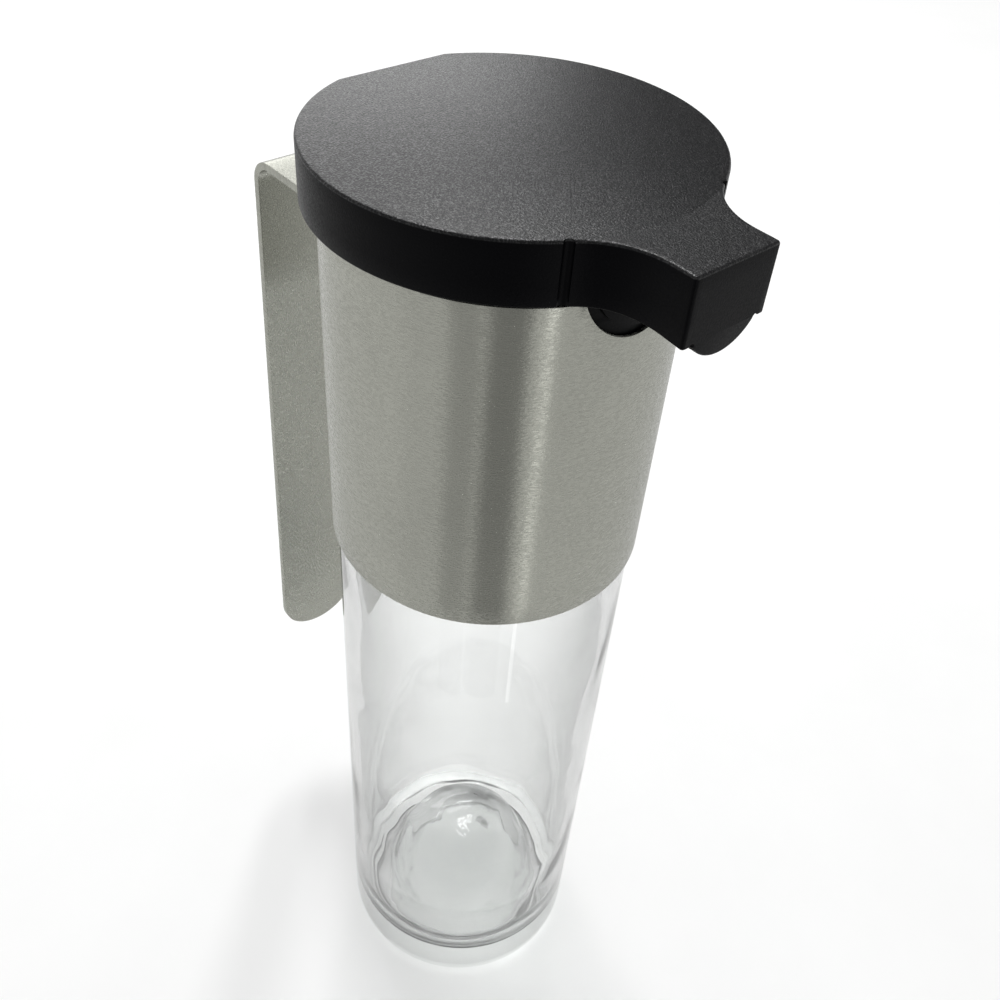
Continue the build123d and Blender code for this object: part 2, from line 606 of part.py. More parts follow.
# Lid: shell with a flat at the hinge, a beak over the spout and a tongue that shuts it
flare_angle = asin((beak_half_width + BEAK_FLARE_RADIUS) / (lid_radius + BEAK_FLARE_RADIUS))
nick_x = (lid_radius + NICK_SETBACK) * cos(flare_angle)
nick_y = (lid_radius + NICK_SETBACK) * sin(flare_angle)
hinge_notch_top_z = pin_z + knuckle_radius + KNUCKLE_NOTCH_RISE
with BuildPart() as lid_shell:
    with BuildSketch(Plane.XY.offset(beak_bottom_z)) as lid_outline:
        Circle(lid_radius)
        with Locations((lid_flat_x, 0)):
            Rectangle(lid_radius, 2 * lid_radius, align=(Align.MAX, Align.CENTER), mode=Mode.SUBTRACT)
        Rectangle(beak_front_x, 2 * beak_half_width, align=(Align.MIN, Align.CENTER))
        beak_roots = lid_outline.vertices().filter_by_position(Axis.X, lid_radius / 2, lid_radius)
        fillet(beak_roots, BEAK_FLARE_RADIUS)
    extrude(amount=lid_top_z - beak_bottom_z)
    front_corners = lid_shell.edges().filter_by(Axis.Z).group_by(Axis.X)[-1]
    fillet(front_corners, BEAK_CORNER_ROUND)
    fillet(lid_shell.faces().sort_by(Axis.Z)[-1].edges(), LID_EDGE_ROUND)
    # Nicks where the beak leaves the round edge
    with BuildSketch(Plane.XY.offset(beak_bottom_z)):
        with Locations((nick_x, nick_y), (nick_x, -nick_y)):
            Circle(NICK_RADIUS)
    extrude(amount=lid_top_z - beak_bottom_z, mode=Mode.SUBTRACT)
    # Hollow
    with BuildSketch(Plane.XY.offset(beak_bottom_z)):
        add(lid_outline.sketch)
        offset(amount=-LID_WALL, mode=Mode.REPLACE)
    extrude(amount=lid_under_z - beak_bottom_z, mode=Mode.SUBTRACT)
    # Underside: level round the skirt, coming down along the beak
    with BuildSketch(Plane.XZ):
        with BuildLine():
            Polyline(
                (-lid_radius, beak_bottom_z - CUT_PAST),
                (-lid_radius, lid_bottom_z),
                (lid_radius, lid_bottom_z),
                (beak_front_x, beak_bottom_z),
                (beak_front_x, beak_bottom_z - CUT_PAST),
                close=True,
            )
        make_face()
    extrude(amount=lid_radius + CUT_PAST, both=True, mode=Mode.SUBTRACT)
    # Tongue below the beak's front wall
    with BuildSketch(Plane.YZ.offset(beak_inner_x)):
        with Locations((0, tongue_z)):
            Circle(tongue_radius)
        with Locations((0, lid_bottom_z)):
            Rectangle(
                2 * tongue_radius,
                2 * tongue_radius,
                align=(Align.CENTER, Align.MIN),
                mode=Mode.SUBTRACT,
            )
    extrude(amount=LID_WALL)
    # Opening in the rear wall for the hinge knuckle
    with BuildSketch(Plane.YZ.offset(lid_flat_x - CUT_PAST)):
        with Locations((0, lid_bottom_z)):
            Rectangle(2 * cheek_inner, hinge_notch_top_z - lid_bottom_z, align=(Align.CENTER, Align.MIN))
    extrude(amount=2 * CUT_PAST + LID_WALL, mode=Mode.SUBTRACT)
    # Cheeks that hold the hinge pin
    for side in (-1, 1):
        with BuildSketch(Plane.XZ.offset(side * cheek_inner)):
            with Locations((pin_x, pin_z)):
                Circle(knuckle_radius)
                Rectangle(
                    2 * knuckle_radius,
                    lid_under_z + LID_TOP_WALL / 2 - pin_z,
                    align=(Align.CENTER, Align.MIN),
                )
                Circle(PIN_RADIUS + PRESS_GAP, mode=Mode.SUBTRACT)
        extrude(amount=side * CHEEK_WALL)
    # Ribs under the top
    with BuildSketch(Plane.XY.offset(lid_rib_bottom_z)):
        with Locations((0, LID_RIB_Y), (0, -LID_RIB_Y)):
            Rectangle(2 * LID_RIB_HALF_LENGTH, LID_RIB_WALL)
    extrude(amount=lid_under_z + LID_TOP_WALL / 2 - lid_rib_bottom_z)
lid_shell.part.label = "lid_shell"
export_step(lid_shell.part, "parts/lid_shell.step")

# Mouth pad: silicone sheet behind the tongue that meets the spout's lip
with BuildPart() as mouth_pad:
    with BuildSketch(Plane.YZ.offset(beak_inner_x - PAD_HEIGHT)):
        with Locations((0, trough_z)):
            Circle(TROUGH_OUTER_RADIUS + PAD_MARGIN)
            Rectangle(
                2 * (TROUGH_OUTER_RADIUS + PAD_MARGIN),
                2 * TROUGH_OUTER_RADIUS,
                align=(Align.CENTER, Align.MIN),
                mode=Mode.SUBTRACT,
            )
            Rectangle(
                2 * (TROUGH_OUTER_RADIUS + PAD_MARGIN),
                TROUGH_RISE + PAD_RISE,
                align=(Align.CENTER, Align.MIN),
            )
    extrude(amount=PAD_HEIGHT)
mouth_pad.part.label = "mouth_pad"
export_step(mouth_pad.part, "parts/mouth_pad.step")
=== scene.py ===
"""Looks of the oil and vinegar dispenser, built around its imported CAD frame.

Pieces are measured in millimetres, as in the part's source. Finishes, lamps, cards and the camera
are in metres. +Z is up, +X points out of the spout and the strap handle is on the -X side.
"""

import logging
import math
from dataclasses import dataclass, field
from enum import Enum
from typing import Sequence

import bmesh
import bpy
from mathutils import Matrix, Vector


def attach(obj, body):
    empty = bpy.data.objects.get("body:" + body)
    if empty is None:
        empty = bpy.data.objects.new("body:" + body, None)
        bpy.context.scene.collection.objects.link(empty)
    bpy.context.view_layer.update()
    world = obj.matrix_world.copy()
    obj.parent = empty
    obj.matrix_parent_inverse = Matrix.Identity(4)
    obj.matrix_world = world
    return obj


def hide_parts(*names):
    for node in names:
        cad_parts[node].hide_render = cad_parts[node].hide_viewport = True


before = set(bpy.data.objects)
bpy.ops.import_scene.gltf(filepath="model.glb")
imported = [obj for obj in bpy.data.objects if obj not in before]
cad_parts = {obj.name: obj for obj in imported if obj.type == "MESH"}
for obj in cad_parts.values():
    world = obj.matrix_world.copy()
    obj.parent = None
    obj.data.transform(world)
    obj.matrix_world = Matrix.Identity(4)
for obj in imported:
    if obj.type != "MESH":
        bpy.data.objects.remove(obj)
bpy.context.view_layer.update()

Triple = tuple[float, float, float]
Colour = Triple
Spot = tuple[float, float]
Range = tuple[float, float]
Loop = list[Vector]
Socket = bpy.types.NodeSocket
Material = bpy.types.Material
Thing = bpy.types.Object

MM = 0.001
FULL_TURN = 2 * math.pi
MERGE_DISTANCE = 2e-7
SEAM_DISTANCE = 1e-6
SHARP_ANGLE = 60.0
STRIP_MAP = "strip"
LOG = logging.getLogger("dispenser")


# ---- drawing node trees ----


class NodeSheet:
    """A node tree while it is being drawn up."""

    def __init__(self, tree: bpy.types.NodeTree) -> None:
        """Starts on an emptied tree."""
        self.tree = tree
        tree.nodes.clear()

    def feed(self, socket: Socket, value: object) -> None:
        """Links a socket, or sets its value.

        Args:
            socket: The input to fill.
            value: Another node's output, or a plain value.
        """
        if isinstance(value, Socket):
            self.tree.links.new(value, socket)
        else:
            socket.default_value = value

    def add(self, kind: str, inputs: dict | None = None, **settings: object) -> bpy.types.Node:
        """Adds a node.

        Args:
            kind: The node's type.
            inputs: Input names or numbers with what fills them.
            **settings: The node's own options.

        Returns:
            The new node.
        """
        node = self.tree.nodes.new(kind)
        for name, value in settings.items():
            setattr(node, name, value)
        for name, value in (inputs or {}).items():
            self.feed(node.inputs[name], value)
        return node

    def take(self, kind: str, inputs: dict | None = None, **settings: object) -> Socket:
        """Adds a node and gives its first output."""
        return self.add(kind, inputs, **settings).outputs[0]

    def math(self, operation: str, first: object, second: object = 0.0) -> Socket:
        """Adds one step of arithmetic on sockets or numbers."""
        return self.take("ShaderNodeMath", {0: first, 1: second}, operation=operation)

    def times(self, first: object, *others: object) -> Socket:
        """Multiplies sockets or numbers.

        Args:
            first: The first one.
            *others: The rest, in order.

        Returns:
            The product's socket.
        """
        for other in others:
            first = self.math("MULTIPLY", first, other)
        return first

    def noise(
        self, place: object, scale: float, detail: float = 2.0, rough: float = 0.5
    ) -> Socket:
        """Adds a noise from 0 to 1 that changes about scale times in a unit of its place."""
        inputs = {"Vector": place, "Scale": scale, "Detail": detail, "Roughness": rough}
        return self.take("ShaderNodeTexNoise", inputs)

    def spread(
        self, value: object, low: object, high: object, start: float = 0.3, end: float = 0.7
    ) -> Socket:
        """Gives low where a value is at start or under it, and high where it is at end or over."""
        inputs = {"Value": value, "From Min": start, "From Max": end, "To Min": low, "To Max": high}
        return self.take("ShaderNodeMapRange", inputs)

    def below(self, value: object, limit: float, edge: float = 0.001) -> Socket:
        """Gives 1 where a value is under a limit and 0 over it, with a soft edge."""
        return self.spread(value, 1.0, 0.0, limit - edge, limit)

    def stretched(self, place: Socket, scale: Sequence[float]) -> Socket:
        """Scales coordinates by a factor along each axis."""
        return self.take("ShaderNodeMapping", {"Vector": place, "Scale": scale})

    def blend(self, share: object, first: object, second: object) -> Socket:
        """Mixes two colours.

        Args:
            share: How much of the second there is.
            first: The colour or socket at share 0.
            second: The colour or socket at share 1.

        Returns:
            The mixed colour's socket.
        """
        node = self.add("ShaderNodeMix", data_type="RGBA")
        sockets = {socket.identifier: socket for socket in [*node.inputs, *node.outputs]}
        self.feed(sockets["Factor_Float"], share)
        for name, colour in (("A_Color", first), ("B_Color", second)):
            self.feed(sockets[name], (*colour, 1.0) if isinstance(colour, tuple) else colour)
        return sockets["Result_Color"]

    def shades(self, share: object, colour: Colour, factors: Range) -> Socket:
        """Varies a colour between two factors of itself."""
        ends = (tuple(min(1.0, part * factor) for part in colour) for factor in factors)
        return self.blend(share, *ends)

    def bump(self, height: object, depth: float, strength: float, over: object = None) -> Socket:
        """Turns a height into a surface direction.

        Args:
            height: The height's socket, from 0 to 1.
            depth: How high 1 is, in metres.
            strength: How much of it shows.
            over: The direction that it starts from, where that isn't the surface's own.

        Returns:
            The direction's socket.
        """
        inputs = {"Height": height, "Distance": depth, "Strength": strength}
        if over is not None:
            inputs["Normal"] = over
        return self.take("ShaderNodeBump", inputs)

    def seen(self) -> Socket:
        """Tells what is looked at, straight or by metal or glass, from what only gives light.

        Returns:
            A socket that is 1 for the first and 0 for the second.
        """
        path = self.add("ShaderNodeLightPath").outputs
        seen = self.math("MAXIMUM", path["Is Camera Ray"], path["Is Glossy Ray"])
        return self.math("MAXIMUM", seen, path["Is Transmission Ray"])


class FinishSheet(NodeSheet):
    """The tree of a new material, with the piece's own coordinates at hand."""

    def __init__(self, name: str) -> None:
        """Makes the material.

        Args:
            name: The material's name.
        """
        self.material = bpy.data.materials.new(name)
        self.material.use_nodes = True
        super().__init__(self.material.node_tree)
        self.place = self.add("ShaderNodeTexCoord").outputs["Object"]

    def height(self) -> Socket:
        """Measures how high a point is."""
        return self.add("ShaderNodeSeparateXYZ", {0: self.place}).outputs["Z"]

    def length(self, place: Socket) -> Socket:
        """Measures how far coordinates are from their origin."""
        return self.add("ShaderNodeVectorMath", {0: place}, operation="LENGTH").outputs["Value"]

    def radius(self) -> Socket:
        """Measures how far a point is from the upright axis."""
        return self.length(self.stretched(self.place, (1.0, 1.0, 0.0)))

    def end(self, shader: Socket) -> Material:
        """Ends the tree in a shader and gives the material."""
        self.add("ShaderNodeOutputMaterial", {"Surface": shader})
        return self.material

    def coat(self, inputs: dict) -> Material:
        """Ends the tree in one all-round shader and gives the material."""
        return self.end(self.take("ShaderNodeBsdfPrincipled", inputs))


# ---- finishes ----


class Brushing(Enum):
    """Which way the brush lines of a steel run."""

    AROUND = "around the upright axis"
    ALONG = "along the strip"


@dataclass(frozen=True)
class BrushedSteel:
    """Stainless steel with fine brush lines."""

    name: str
    brushing: Brushing
    colour: Colour = (0.35, 0.353, 0.314)
    shades: Range = (0.93, 1.07)
    tone_range: Range = (0.35, 0.65)
    line_share: float = 0.6
    edge_share: float = 0.85
    roughness: Range = (0.17, 0.34)
    fleck_range: Range = (0.38, 0.58)
    stretch: float = 0.95
    line_width: float = 0.00011
    line_length: float = 0.0025
    fleck_length: float = 0.0007
    fleck_width: float = 0.0002
    fineness: float = 0.6
    clouds: float = 45.0
    line_height: float = 0.25
    depth: float = 0.00004
    bump_share: float = 0.6

    def make(self) -> Material:
        """Draws the material.

        Returns:
            The new material.
        """
        sheet = FinishSheet(self.name)
        fine, long = 1 / self.line_width, 1 / self.line_length
        narrow, short = 1 / self.fleck_width, 1 / self.fleck_length
        if self.brushing is Brushing.AROUND:
            place, lines, flecks = sheet.place, (long, long, fine), (short, short, narrow)
            tangent = sheet.take("ShaderNodeTangent", direction_type="RADIAL", axis="Z")
            turn = 0.25
        else:
            place = sheet.take("ShaderNodeUVMap", uv_map=STRIP_MAP)
            lines, flecks = (fine, long, 1.0), (narrow, short, 1.0)
            tangent = sheet.take("ShaderNodeTangent", direction_type="UV_MAP", uv_map=STRIP_MAP)
            turn = 0.0
        brushed = sheet.noise(sheet.stretched(place, lines), 1.0, detail=3.0, rough=self.fineness)
        flecked = sheet.noise(sheet.stretched(place, flecks), 1.0, rough=self.fineness)
        clouded = sheet.noise(sheet.place, self.clouds, detail=3.0)
        clouded = sheet.times(clouded, 1 - self.line_share)
        tone = sheet.math("ADD", sheet.times(brushed, self.line_share), clouded)
        height = sheet.math("ADD", sheet.times(brushed, self.line_height), flecked)
        share = sheet.spread(tone, 0.0, 1.0, *self.tone_range)
        return sheet.coat({
            "Base Color": sheet.shades(share, self.colour, self.shades),
            "Metallic": 1.0,
            "Specular Tint": (self.edge_share,) * 3 + (1.0,),
            "Roughness": sheet.spread(flecked, *self.roughness, *self.fleck_range),
            "Anisotropic": self.stretch,
            "Anisotropic Rotation": turn,
            "Tangent": tangent,
            "Normal": sheet.bump(height, self.depth, self.bump_share),
        })


@dataclass(frozen=True)
class PlainSteel:
    """Turned or drawn steel of small fittings."""

    name: str
    colour: Colour = (0.52, 0.515, 0.5)
    shades: Range = (0.9, 1.08)
    roughness: Range = (0.2, 0.34)
    marks: Triple = (400.0, 400.0, 9000.0)
    clouds: float = 220.0
    depth: float = 0.00001
    bump_share: float = 0.4

    def make(self) -> Material:
        """Draws the material.

        Returns:
            The new material.
        """
        sheet = FinishSheet(self.name)
        turned = sheet.noise(sheet.stretched(sheet.place, self.marks), 1.0)
        clouded = sheet.noise(sheet.place, self.clouds, detail=3.0)
        return sheet.coat({
            "Base Color": sheet.shades(clouded, self.colour, self.shades),
            "Metallic": 1.0,
            "Roughness": sheet.spread(clouded, *self.roughness),
            "Normal": sheet.bump(turned, self.depth, self.bump_share),
        })


@dataclass(frozen=True)
class GrainedPlastic:
    """Moulded plastic: a satin grain on its top, smoother sides, and a crown in the shading."""

    name: str
    colour: Colour
    shades: Range = (0.75, 1.3)
    roughness: Range = (0.32, 0.5)
    side_shine: float = 0.055
    top_shine: float = 0.048
    top_height: float = 0.1832
    top_edge: float = 0.0003
    clouds: float = 45.0
    grain: float = 0.00022
    side_grain: float = 0.4
    speckle: float = 0.00026
    speckle_shine: Range = (0.7, 1.8)
    speckle_range: Range = (0.45, 0.75)
    depth: float = 0.00006
    crown: float = 0.0
    crown_radius: float = 0.027

    def make(self) -> Material:
        """Draws the material.

        Returns:
            The new material.
        """
        sheet = FinishSheet(self.name)
        grain = sheet.noise(sheet.place, 1 / self.grain, detail=1.5, rough=0.6)
        clouded = sheet.noise(sheet.place, self.clouds, detail=3.0)
        top_end = self.top_height + self.top_edge
        on_top = sheet.spread(sheet.height(), 0.0, 1.0, self.top_height, top_end)
        speckles = sheet.noise(sheet.place, 1 / self.speckle, detail=1.0)
        speckled = sheet.spread(speckles, *self.speckle_shine, *self.speckle_range)
        grained = sheet.times(grain, sheet.spread(on_top, self.side_grain, 1.0))
        reach = sheet.math("MINIMUM", sheet.radius(), self.crown_radius)
        crown = sheet.times(reach, reach, -self.crown / (2 * self.crown_radius))
        top_shine = sheet.times(speckled, self.top_shine)
        return sheet.coat({
            "Base Color": sheet.shades(clouded, self.colour, self.shades),
            "Roughness": sheet.spread(grain, *self.roughness),
            "Specular IOR Level": sheet.spread(on_top, self.side_shine, top_shine),
            "Normal": sheet.bump(grained, self.depth, 1.0, sheet.bump(crown, 1.0, 1.0)),
        })


@dataclass(frozen=True)
class Silicone:
    """Soft rubber of the seals."""

    name: str
    colour: Colour = (0.62, 0.62, 0.59)
    shine: float = 0.5
    shades: Range = (0.92, 1.06)
    clouds: float = 130.0
    bloom: float = 2600.0
    roughness: Range = (0.42, 0.6)
    glow_share: float = 0.25
    glow_reach: float = 0.0008
    depth: float = 0.00003
    bump_share: float = 0.3

    def make(self) -> Material:
        """Draws the material.

        Returns:
            The new material.
        """
        sheet = FinishSheet(self.name)
        clouded = sheet.noise(sheet.place, self.clouds, detail=3.0)
        bloom = sheet.noise(sheet.place, self.bloom)
        return sheet.coat({
            "Base Color": sheet.shades(clouded, self.colour, self.shades),
            "Roughness": sheet.spread(bloom, *self.roughness),
            "Specular IOR Level": self.shine,
            "Subsurface Weight": self.glow_share,
            "Subsurface Scale": self.glow_reach,
            "Normal": sheet.bump(bloom, self.depth, self.bump_share),
        })


@dataclass(frozen=True)
class ClearGlass:
    """Clear pressed glass that lets the lamps through to what stands behind it."""

    name: str
    colour: Colour = (0.985, 0.992, 0.988)
    bend: float = 1.5
    film: float = 35.0
    smear: float = 0.02
    smear_range: Range = (0.5, 0.8)
    shade: Colour = (0.86, 0.87, 0.865)
    # Painted shade: the dark colours below paint the glass's slanted edges, its thick base and the
    # dome's outline.
    painted_edge_shade: Colour = (0.2, 0.205, 0.203)
    edge_shade_facing: Range = (0.3, 0.95)
    base_painted_shade: Colour = (0.68, 0.69, 0.685)
    base_painted_edge_shade: Colour = (0.16, 0.165, 0.163)
    outline_shade: Colour = (0.1, 0.103, 0.102)
    outline_shade_facing: Range = (0.17, 0.42)
    outline_shade_haze: float = 0.55
    haze: float = 0.03
    base_haze: float = 0.2
    haze_facing: Range = (0.5, 0.9)
    base_height: float = 0.0275
    base_radius: float = 0.0205
    inside_radius: float = 0.0228
    inside_edge: float = 0.0005
    least_base_shade: float = 0.2
    base_shade_heights: Range = (0.009, 0.021)
    ripples: Triple = (90.0, 90.0, 22.0)
    ripple_depth: float = 0.00012
    ripple_share: float = 0.25
    swells: float = 110.0
    swell_depth: float = 0.0022
    lumps: float = 220.0
    lump_depth: float = 0.0004
    lump_share: float = 0.6
    heel_shade_share: float = 0.35
    heel_height: float = 0.0045
    heel_edge: float = 0.001

    def make(self) -> Material:
        """Draws the material.

        Returns:
            The new material.
        """
        sheet = FinishSheet(self.name)
        height, radius = sheet.height(), sheet.radius()
        low = sheet.below(height, self.base_height)
        thick = sheet.times(low, sheet.below(radius, self.base_radius))
        within = sheet.below(radius, self.inside_radius, self.inside_edge)
        facing = sheet.add("ShaderNodeLayerWeight", {"Blend": 0.5}).outputs["Facing"]
        behind = sheet.add("ShaderNodeNewGeometry").outputs["Backfacing"]
        # The dome's outline is painted dark where it is seen from inside the glass: painted shade,
        # with less light let through there.
        painted_outline = sheet.times(low, within, behind, sheet.spread(facing, 0.0, 1.0, *self.outline_shade_facing))
        # Painted shade: the thick base is painted grey, most towards the dome's top and least near
        # its bottom.
        base_shade_share = sheet.times(thick, sheet.spread(height, self.least_base_shade, 1.0, *self.base_shade_heights))
        shaded_glass = sheet.blend(base_shade_share, self.colour, self.base_painted_shade)
        # Painted shade: the glass is painted dark where it is seen at a slant, and less so low down
        # at the heel.
        edge = sheet.blend(thick, self.painted_edge_shade, self.base_painted_edge_shade)
        heel = self.heel_height
        above = sheet.spread(height, self.heel_shade_share, 1.0, heel - self.heel_edge, heel)
        turned = sheet.spread(facing, 0.0, 1.0, *self.edge_shade_facing)
        turned = sheet.times(turned, sheet.math("MAXIMUM", above, thick))
        # The haze lets less light through at a slant, so that the painted dark colour shows there.
        haze = sheet.spread(thick, self.haze, self.base_haze, 0.0, 1.0)
        hazed = sheet.times(sheet.spread(facing, 0.0, 1.0, *self.haze_facing), haze)
        clouding = sheet.math("MAXIMUM", hazed, sheet.times(painted_outline, self.outline_shade_haze))
        # The waves of the wall lie under the base's swells, and these under its lumps.
        ripple = sheet.noise(sheet.stretched(sheet.place, self.ripples), 1.0, detail=1.0)
        rippled = sheet.bump(ripple, self.ripple_depth, self.ripple_share)
        broad = sheet.times(sheet.noise(sheet.place, self.swells, detail=1.0), thick)
        swollen = sheet.bump(broad, self.swell_depth, 1.0, rippled)
        lumpy = sheet.times(sheet.noise(sheet.place, self.lumps), thick)
        film = sheet.noise(sheet.place, self.film, detail=3.0)
        glass = sheet.take("ShaderNodeBsdfPrincipled", {
            "Base Color": sheet.blend(painted_outline, sheet.blend(turned, shaded_glass, edge), self.outline_shade),
            "Roughness": sheet.spread(film, 0.0, self.smear, *self.smear_range),
            "IOR": self.bend,
            "Transmission Weight": sheet.math("SUBTRACT", 1.0, clouding),
            "Normal": sheet.bump(lumpy, self.lump_depth, self.lump_share, swollen),
        })
        clear = sheet.take("ShaderNodeBsdfTransparent", {"Color": (*self.shade, 1.0)})
        shadow = sheet.add("ShaderNodeLightPath").outputs["Is Shadow Ray"]
        return sheet.end(sheet.take("ShaderNodeMixShader", {0: shadow, 1: glass, 2: clear}))


@dataclass(frozen=True)
class StudioFloor:
    """Pale floor: it takes the shadow, and shows partly white to the eye, to metal and to glass."""

    name: str
    colour: Colour = (0.92, 0.922, 0.918)
    shades: Range = (0.97, 1.02)
    mottling: float = 14.0
    glow: float = 0.34
    glow_reach: Range = (0.35, 1.3)

    def make(self) -> Material:
        """Draws the material.

        Returns:
            The new material.
        """
        sheet = FinishSheet(self.name)
        mottled = sheet.noise(sheet.place, self.mottling, detail=4.0, rough=0.6)
        mottled = sheet.spread(mottled, 0.0, 1.0)
        colour = sheet.shades(mottled, self.colour, self.shades)
        matt = sheet.take("ShaderNodeBsdfDiffuse", {"Color": colour})
        white = sheet.take("ShaderNodeEmission", {"Strength": 1.0})
        glow = sheet.spread(sheet.length(sheet.place), self.glow, 1.0, *self.glow_reach)
        share = sheet.times(sheet.seen(), glow)
        return sheet.end(sheet.take("ShaderNodeMixShader", {0: share, 1: matt, 2: white}))


@dataclass(frozen=True)
class CardEmission:
    """Light given off by the cards round the glossy parts, at one nearly even tone; it shows only
    in reflections.
    """

    name: str
    tone: float
    emission_noise: float = 900.0
    shades: Range = (0.9, 1.1)

    def make(self) -> Material:
        """Draws the material.

        Returns:
            The new material.
        """
        sheet = FinishSheet(self.name)
        tones = (self.tone * factor for factor in self.shades)
        strength = sheet.spread(sheet.noise(sheet.place, self.emission_noise), *tones)
        return sheet.end(sheet.take("ShaderNodeEmission", {"Strength": strength}))


# ---- making meshes ----


def lay_object(name: str, data: bpy.types.ID) -> Thing:
    """Puts a mesh, a lamp or a camera into the scene at the origin.

    Args:
        name: The object's name.
        data: What it is made of, with a mesh in metres and in place.

    Returns:
        The new object.
    """
    thing = bpy.data.objects.new(name, data)
    bpy.context.scene.collection.objects.link(thing)
    return thing


def close_up(shape: bmesh.types.BMesh, name: str) -> Thing:
    """Merges doubles, turns faces outwards and lays the shape down.

    Args:
        shape: The shape in millimetres, which is used up.
        name: The object's name.

    Returns:
        The new object, in metres.
    """
    bmesh.ops.scale(shape, vec=(MM,) * 3, verts=shape.verts)
    bmesh.ops.remove_doubles(shape, verts=shape.verts, dist=MERGE_DISTANCE)
    bmesh.ops.recalc_face_normals(shape, faces=shape.faces)
    mesh = bpy.data.meshes.new(name)
    shape.to_mesh(mesh)
    shape.free()
    return lay_object(name, mesh)


def solid(name: str, loops: Sequence[Loop]) -> Thing:
    """Joins loops of points, one after the other, into a closed solid.

    Args:
        name: The object's name.
        loops: Loops with equally many points, in order and in millimetres.

    Returns:
        The new object, in metres.
    """
    shape = bmesh.new()
    rows = [[shape.verts.new(point) for point in loop] for loop in loops]
    for low, high in zip(rows, rows[1:]):
        for corners in zip(low, low[1:] + low[:1], high[1:] + high[:1], high):
            shape.faces.new(corners)
    shape.faces.new(rows[0])
    shape.faces.new(rows[-1])
    return close_up(shape, name)


def patch(name: str, corners: Sequence[Vector], finish: Material) -> Thing:
    """Makes one flat face of the studio.

    Args:
        name: The object's name.
        corners: Its corners, in metres.
        finish: Its material.

    Returns:
        The new object.
    """
    mesh = bpy.data.meshes.new(name)
    mesh.from_pydata(corners, [], [range(len(corners))])
    mesh.materials.append(finish)
    return lay_object(name, mesh)


def block(low: Sequence[float], high: Sequence[float], name: str) -> Thing:
    """Makes a solid with flat sides.

    Args:
        low: Lowest corner.
        high: Highest corner.
        name: Its name.

    Returns:
        The solid, in metres.
    """
    corners = [(low[0], low[1]), (high[0], low[1]), (high[0], high[1]), (low[0], high[1])]
    return solid(name, [[Vector((x, y, z)) for x, y in corners] for z in (low[2], high[2])])


def rod(start: Vector, end: Vector, radius: float, name: str, sides: int) -> Thing:
    """Makes a round solid.

    Args:
        start: Centre of one end.
        end: Centre of the other end.
        radius: Its radius.
        name: Its name.
        sides: How many sides it is drawn with.

    Returns:
        The solid, in metres.
    """
    along = (end - start).normalized()
    across = along.orthogonal().normalized()
    aside = along.cross(across)
    angles = [FULL_TURN * k / sides for k in range(sides)]
    rim = [radius * (math.cos(a) * across + math.sin(a) * aside) for a in angles]
    return solid(name, [[centre + point for point in rim] for centre in (start, end)])


def settle(thing: Thing) -> None:
    """Turns what an object's modifiers make into its plain mesh.

    Args:
        thing: The object, which loses its modifiers.
    """
    bpy.context.view_layer.update()
    graph = bpy.context.evaluated_depsgraph_get()
    mesh = bpy.data.meshes.new_from_object(thing.evaluated_get(graph))
    thing.modifiers.clear()
    thing.data = mesh


def change(thing: Thing, kind: str, **settings: object) -> None:
    """Runs one modifier on an object and keeps the plain mesh.

    Args:
        thing: The object.
        kind: The modifier's type.
        **settings: Its options.
    """
    step = thing.modifiers.new(kind.lower(), kind)
    for name, value in settings.items():
        setattr(step, name, value)
    settle(thing)


def combine(thing: Thing, tools: Sequence[Thing], operation: str) -> None:
    """Adds tools to a solid, or cuts them out of it, and removes the tools.

    Args:
        thing: The solid.
        tools: The closed shapes.
        operation: UNION or DIFFERENCE.
    """
    for tool in tools:
        step = thing.modifiers.new(tool.name, "BOOLEAN")
        step.operation, step.solver, step.object = operation, "EXACT", tool
    settle(thing)
    for tool in tools:
        bpy.data.objects.remove(tool)


def soften(thing: Thing, width: float, steps: int) -> None:
    """Rounds an object's sharp edges a little.

    Args:
        thing: The object.
        width: The rounding, in millimetres.
        steps: How many faces it has.
    """
    sharp = {"limit_method": "ANGLE", "angle_limit": math.radians(SHARP_ANGLE)}
    change(thing, "BEVEL", width=width * MM, segments=steps, harden_normals=False, **sharp)


def smooth(thing: Thing, keep_angle: float) -> None:
    """Shades an object smooth, apart from edges sharper than an angle in degrees."""
    thing.data.shade_smooth()
    thing.data.set_sharp_from_angle(angle=math.radians(keep_angle))


def hand_over(thing: Thing, finish: Material, body: str, slot: str, *nodes: str) -> None:
    """Dresses a finished piece and ties it to its body.

    Args:
        thing: The piece.
        finish: Its material.
        body: The body it rides on.
        slot: The record's slot of its material. It is not used.
        *nodes: The CAD nodes it stands for.
    """
    thing.data.materials.clear()
    thing.data.materials.append(finish)
    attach(thing, body)
    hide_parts(*nodes)
    LOG.info("%s: %d faces, on %s", thing.name, len(thing.data.polygons), body)


# ---- Geometry Nodes forms ----


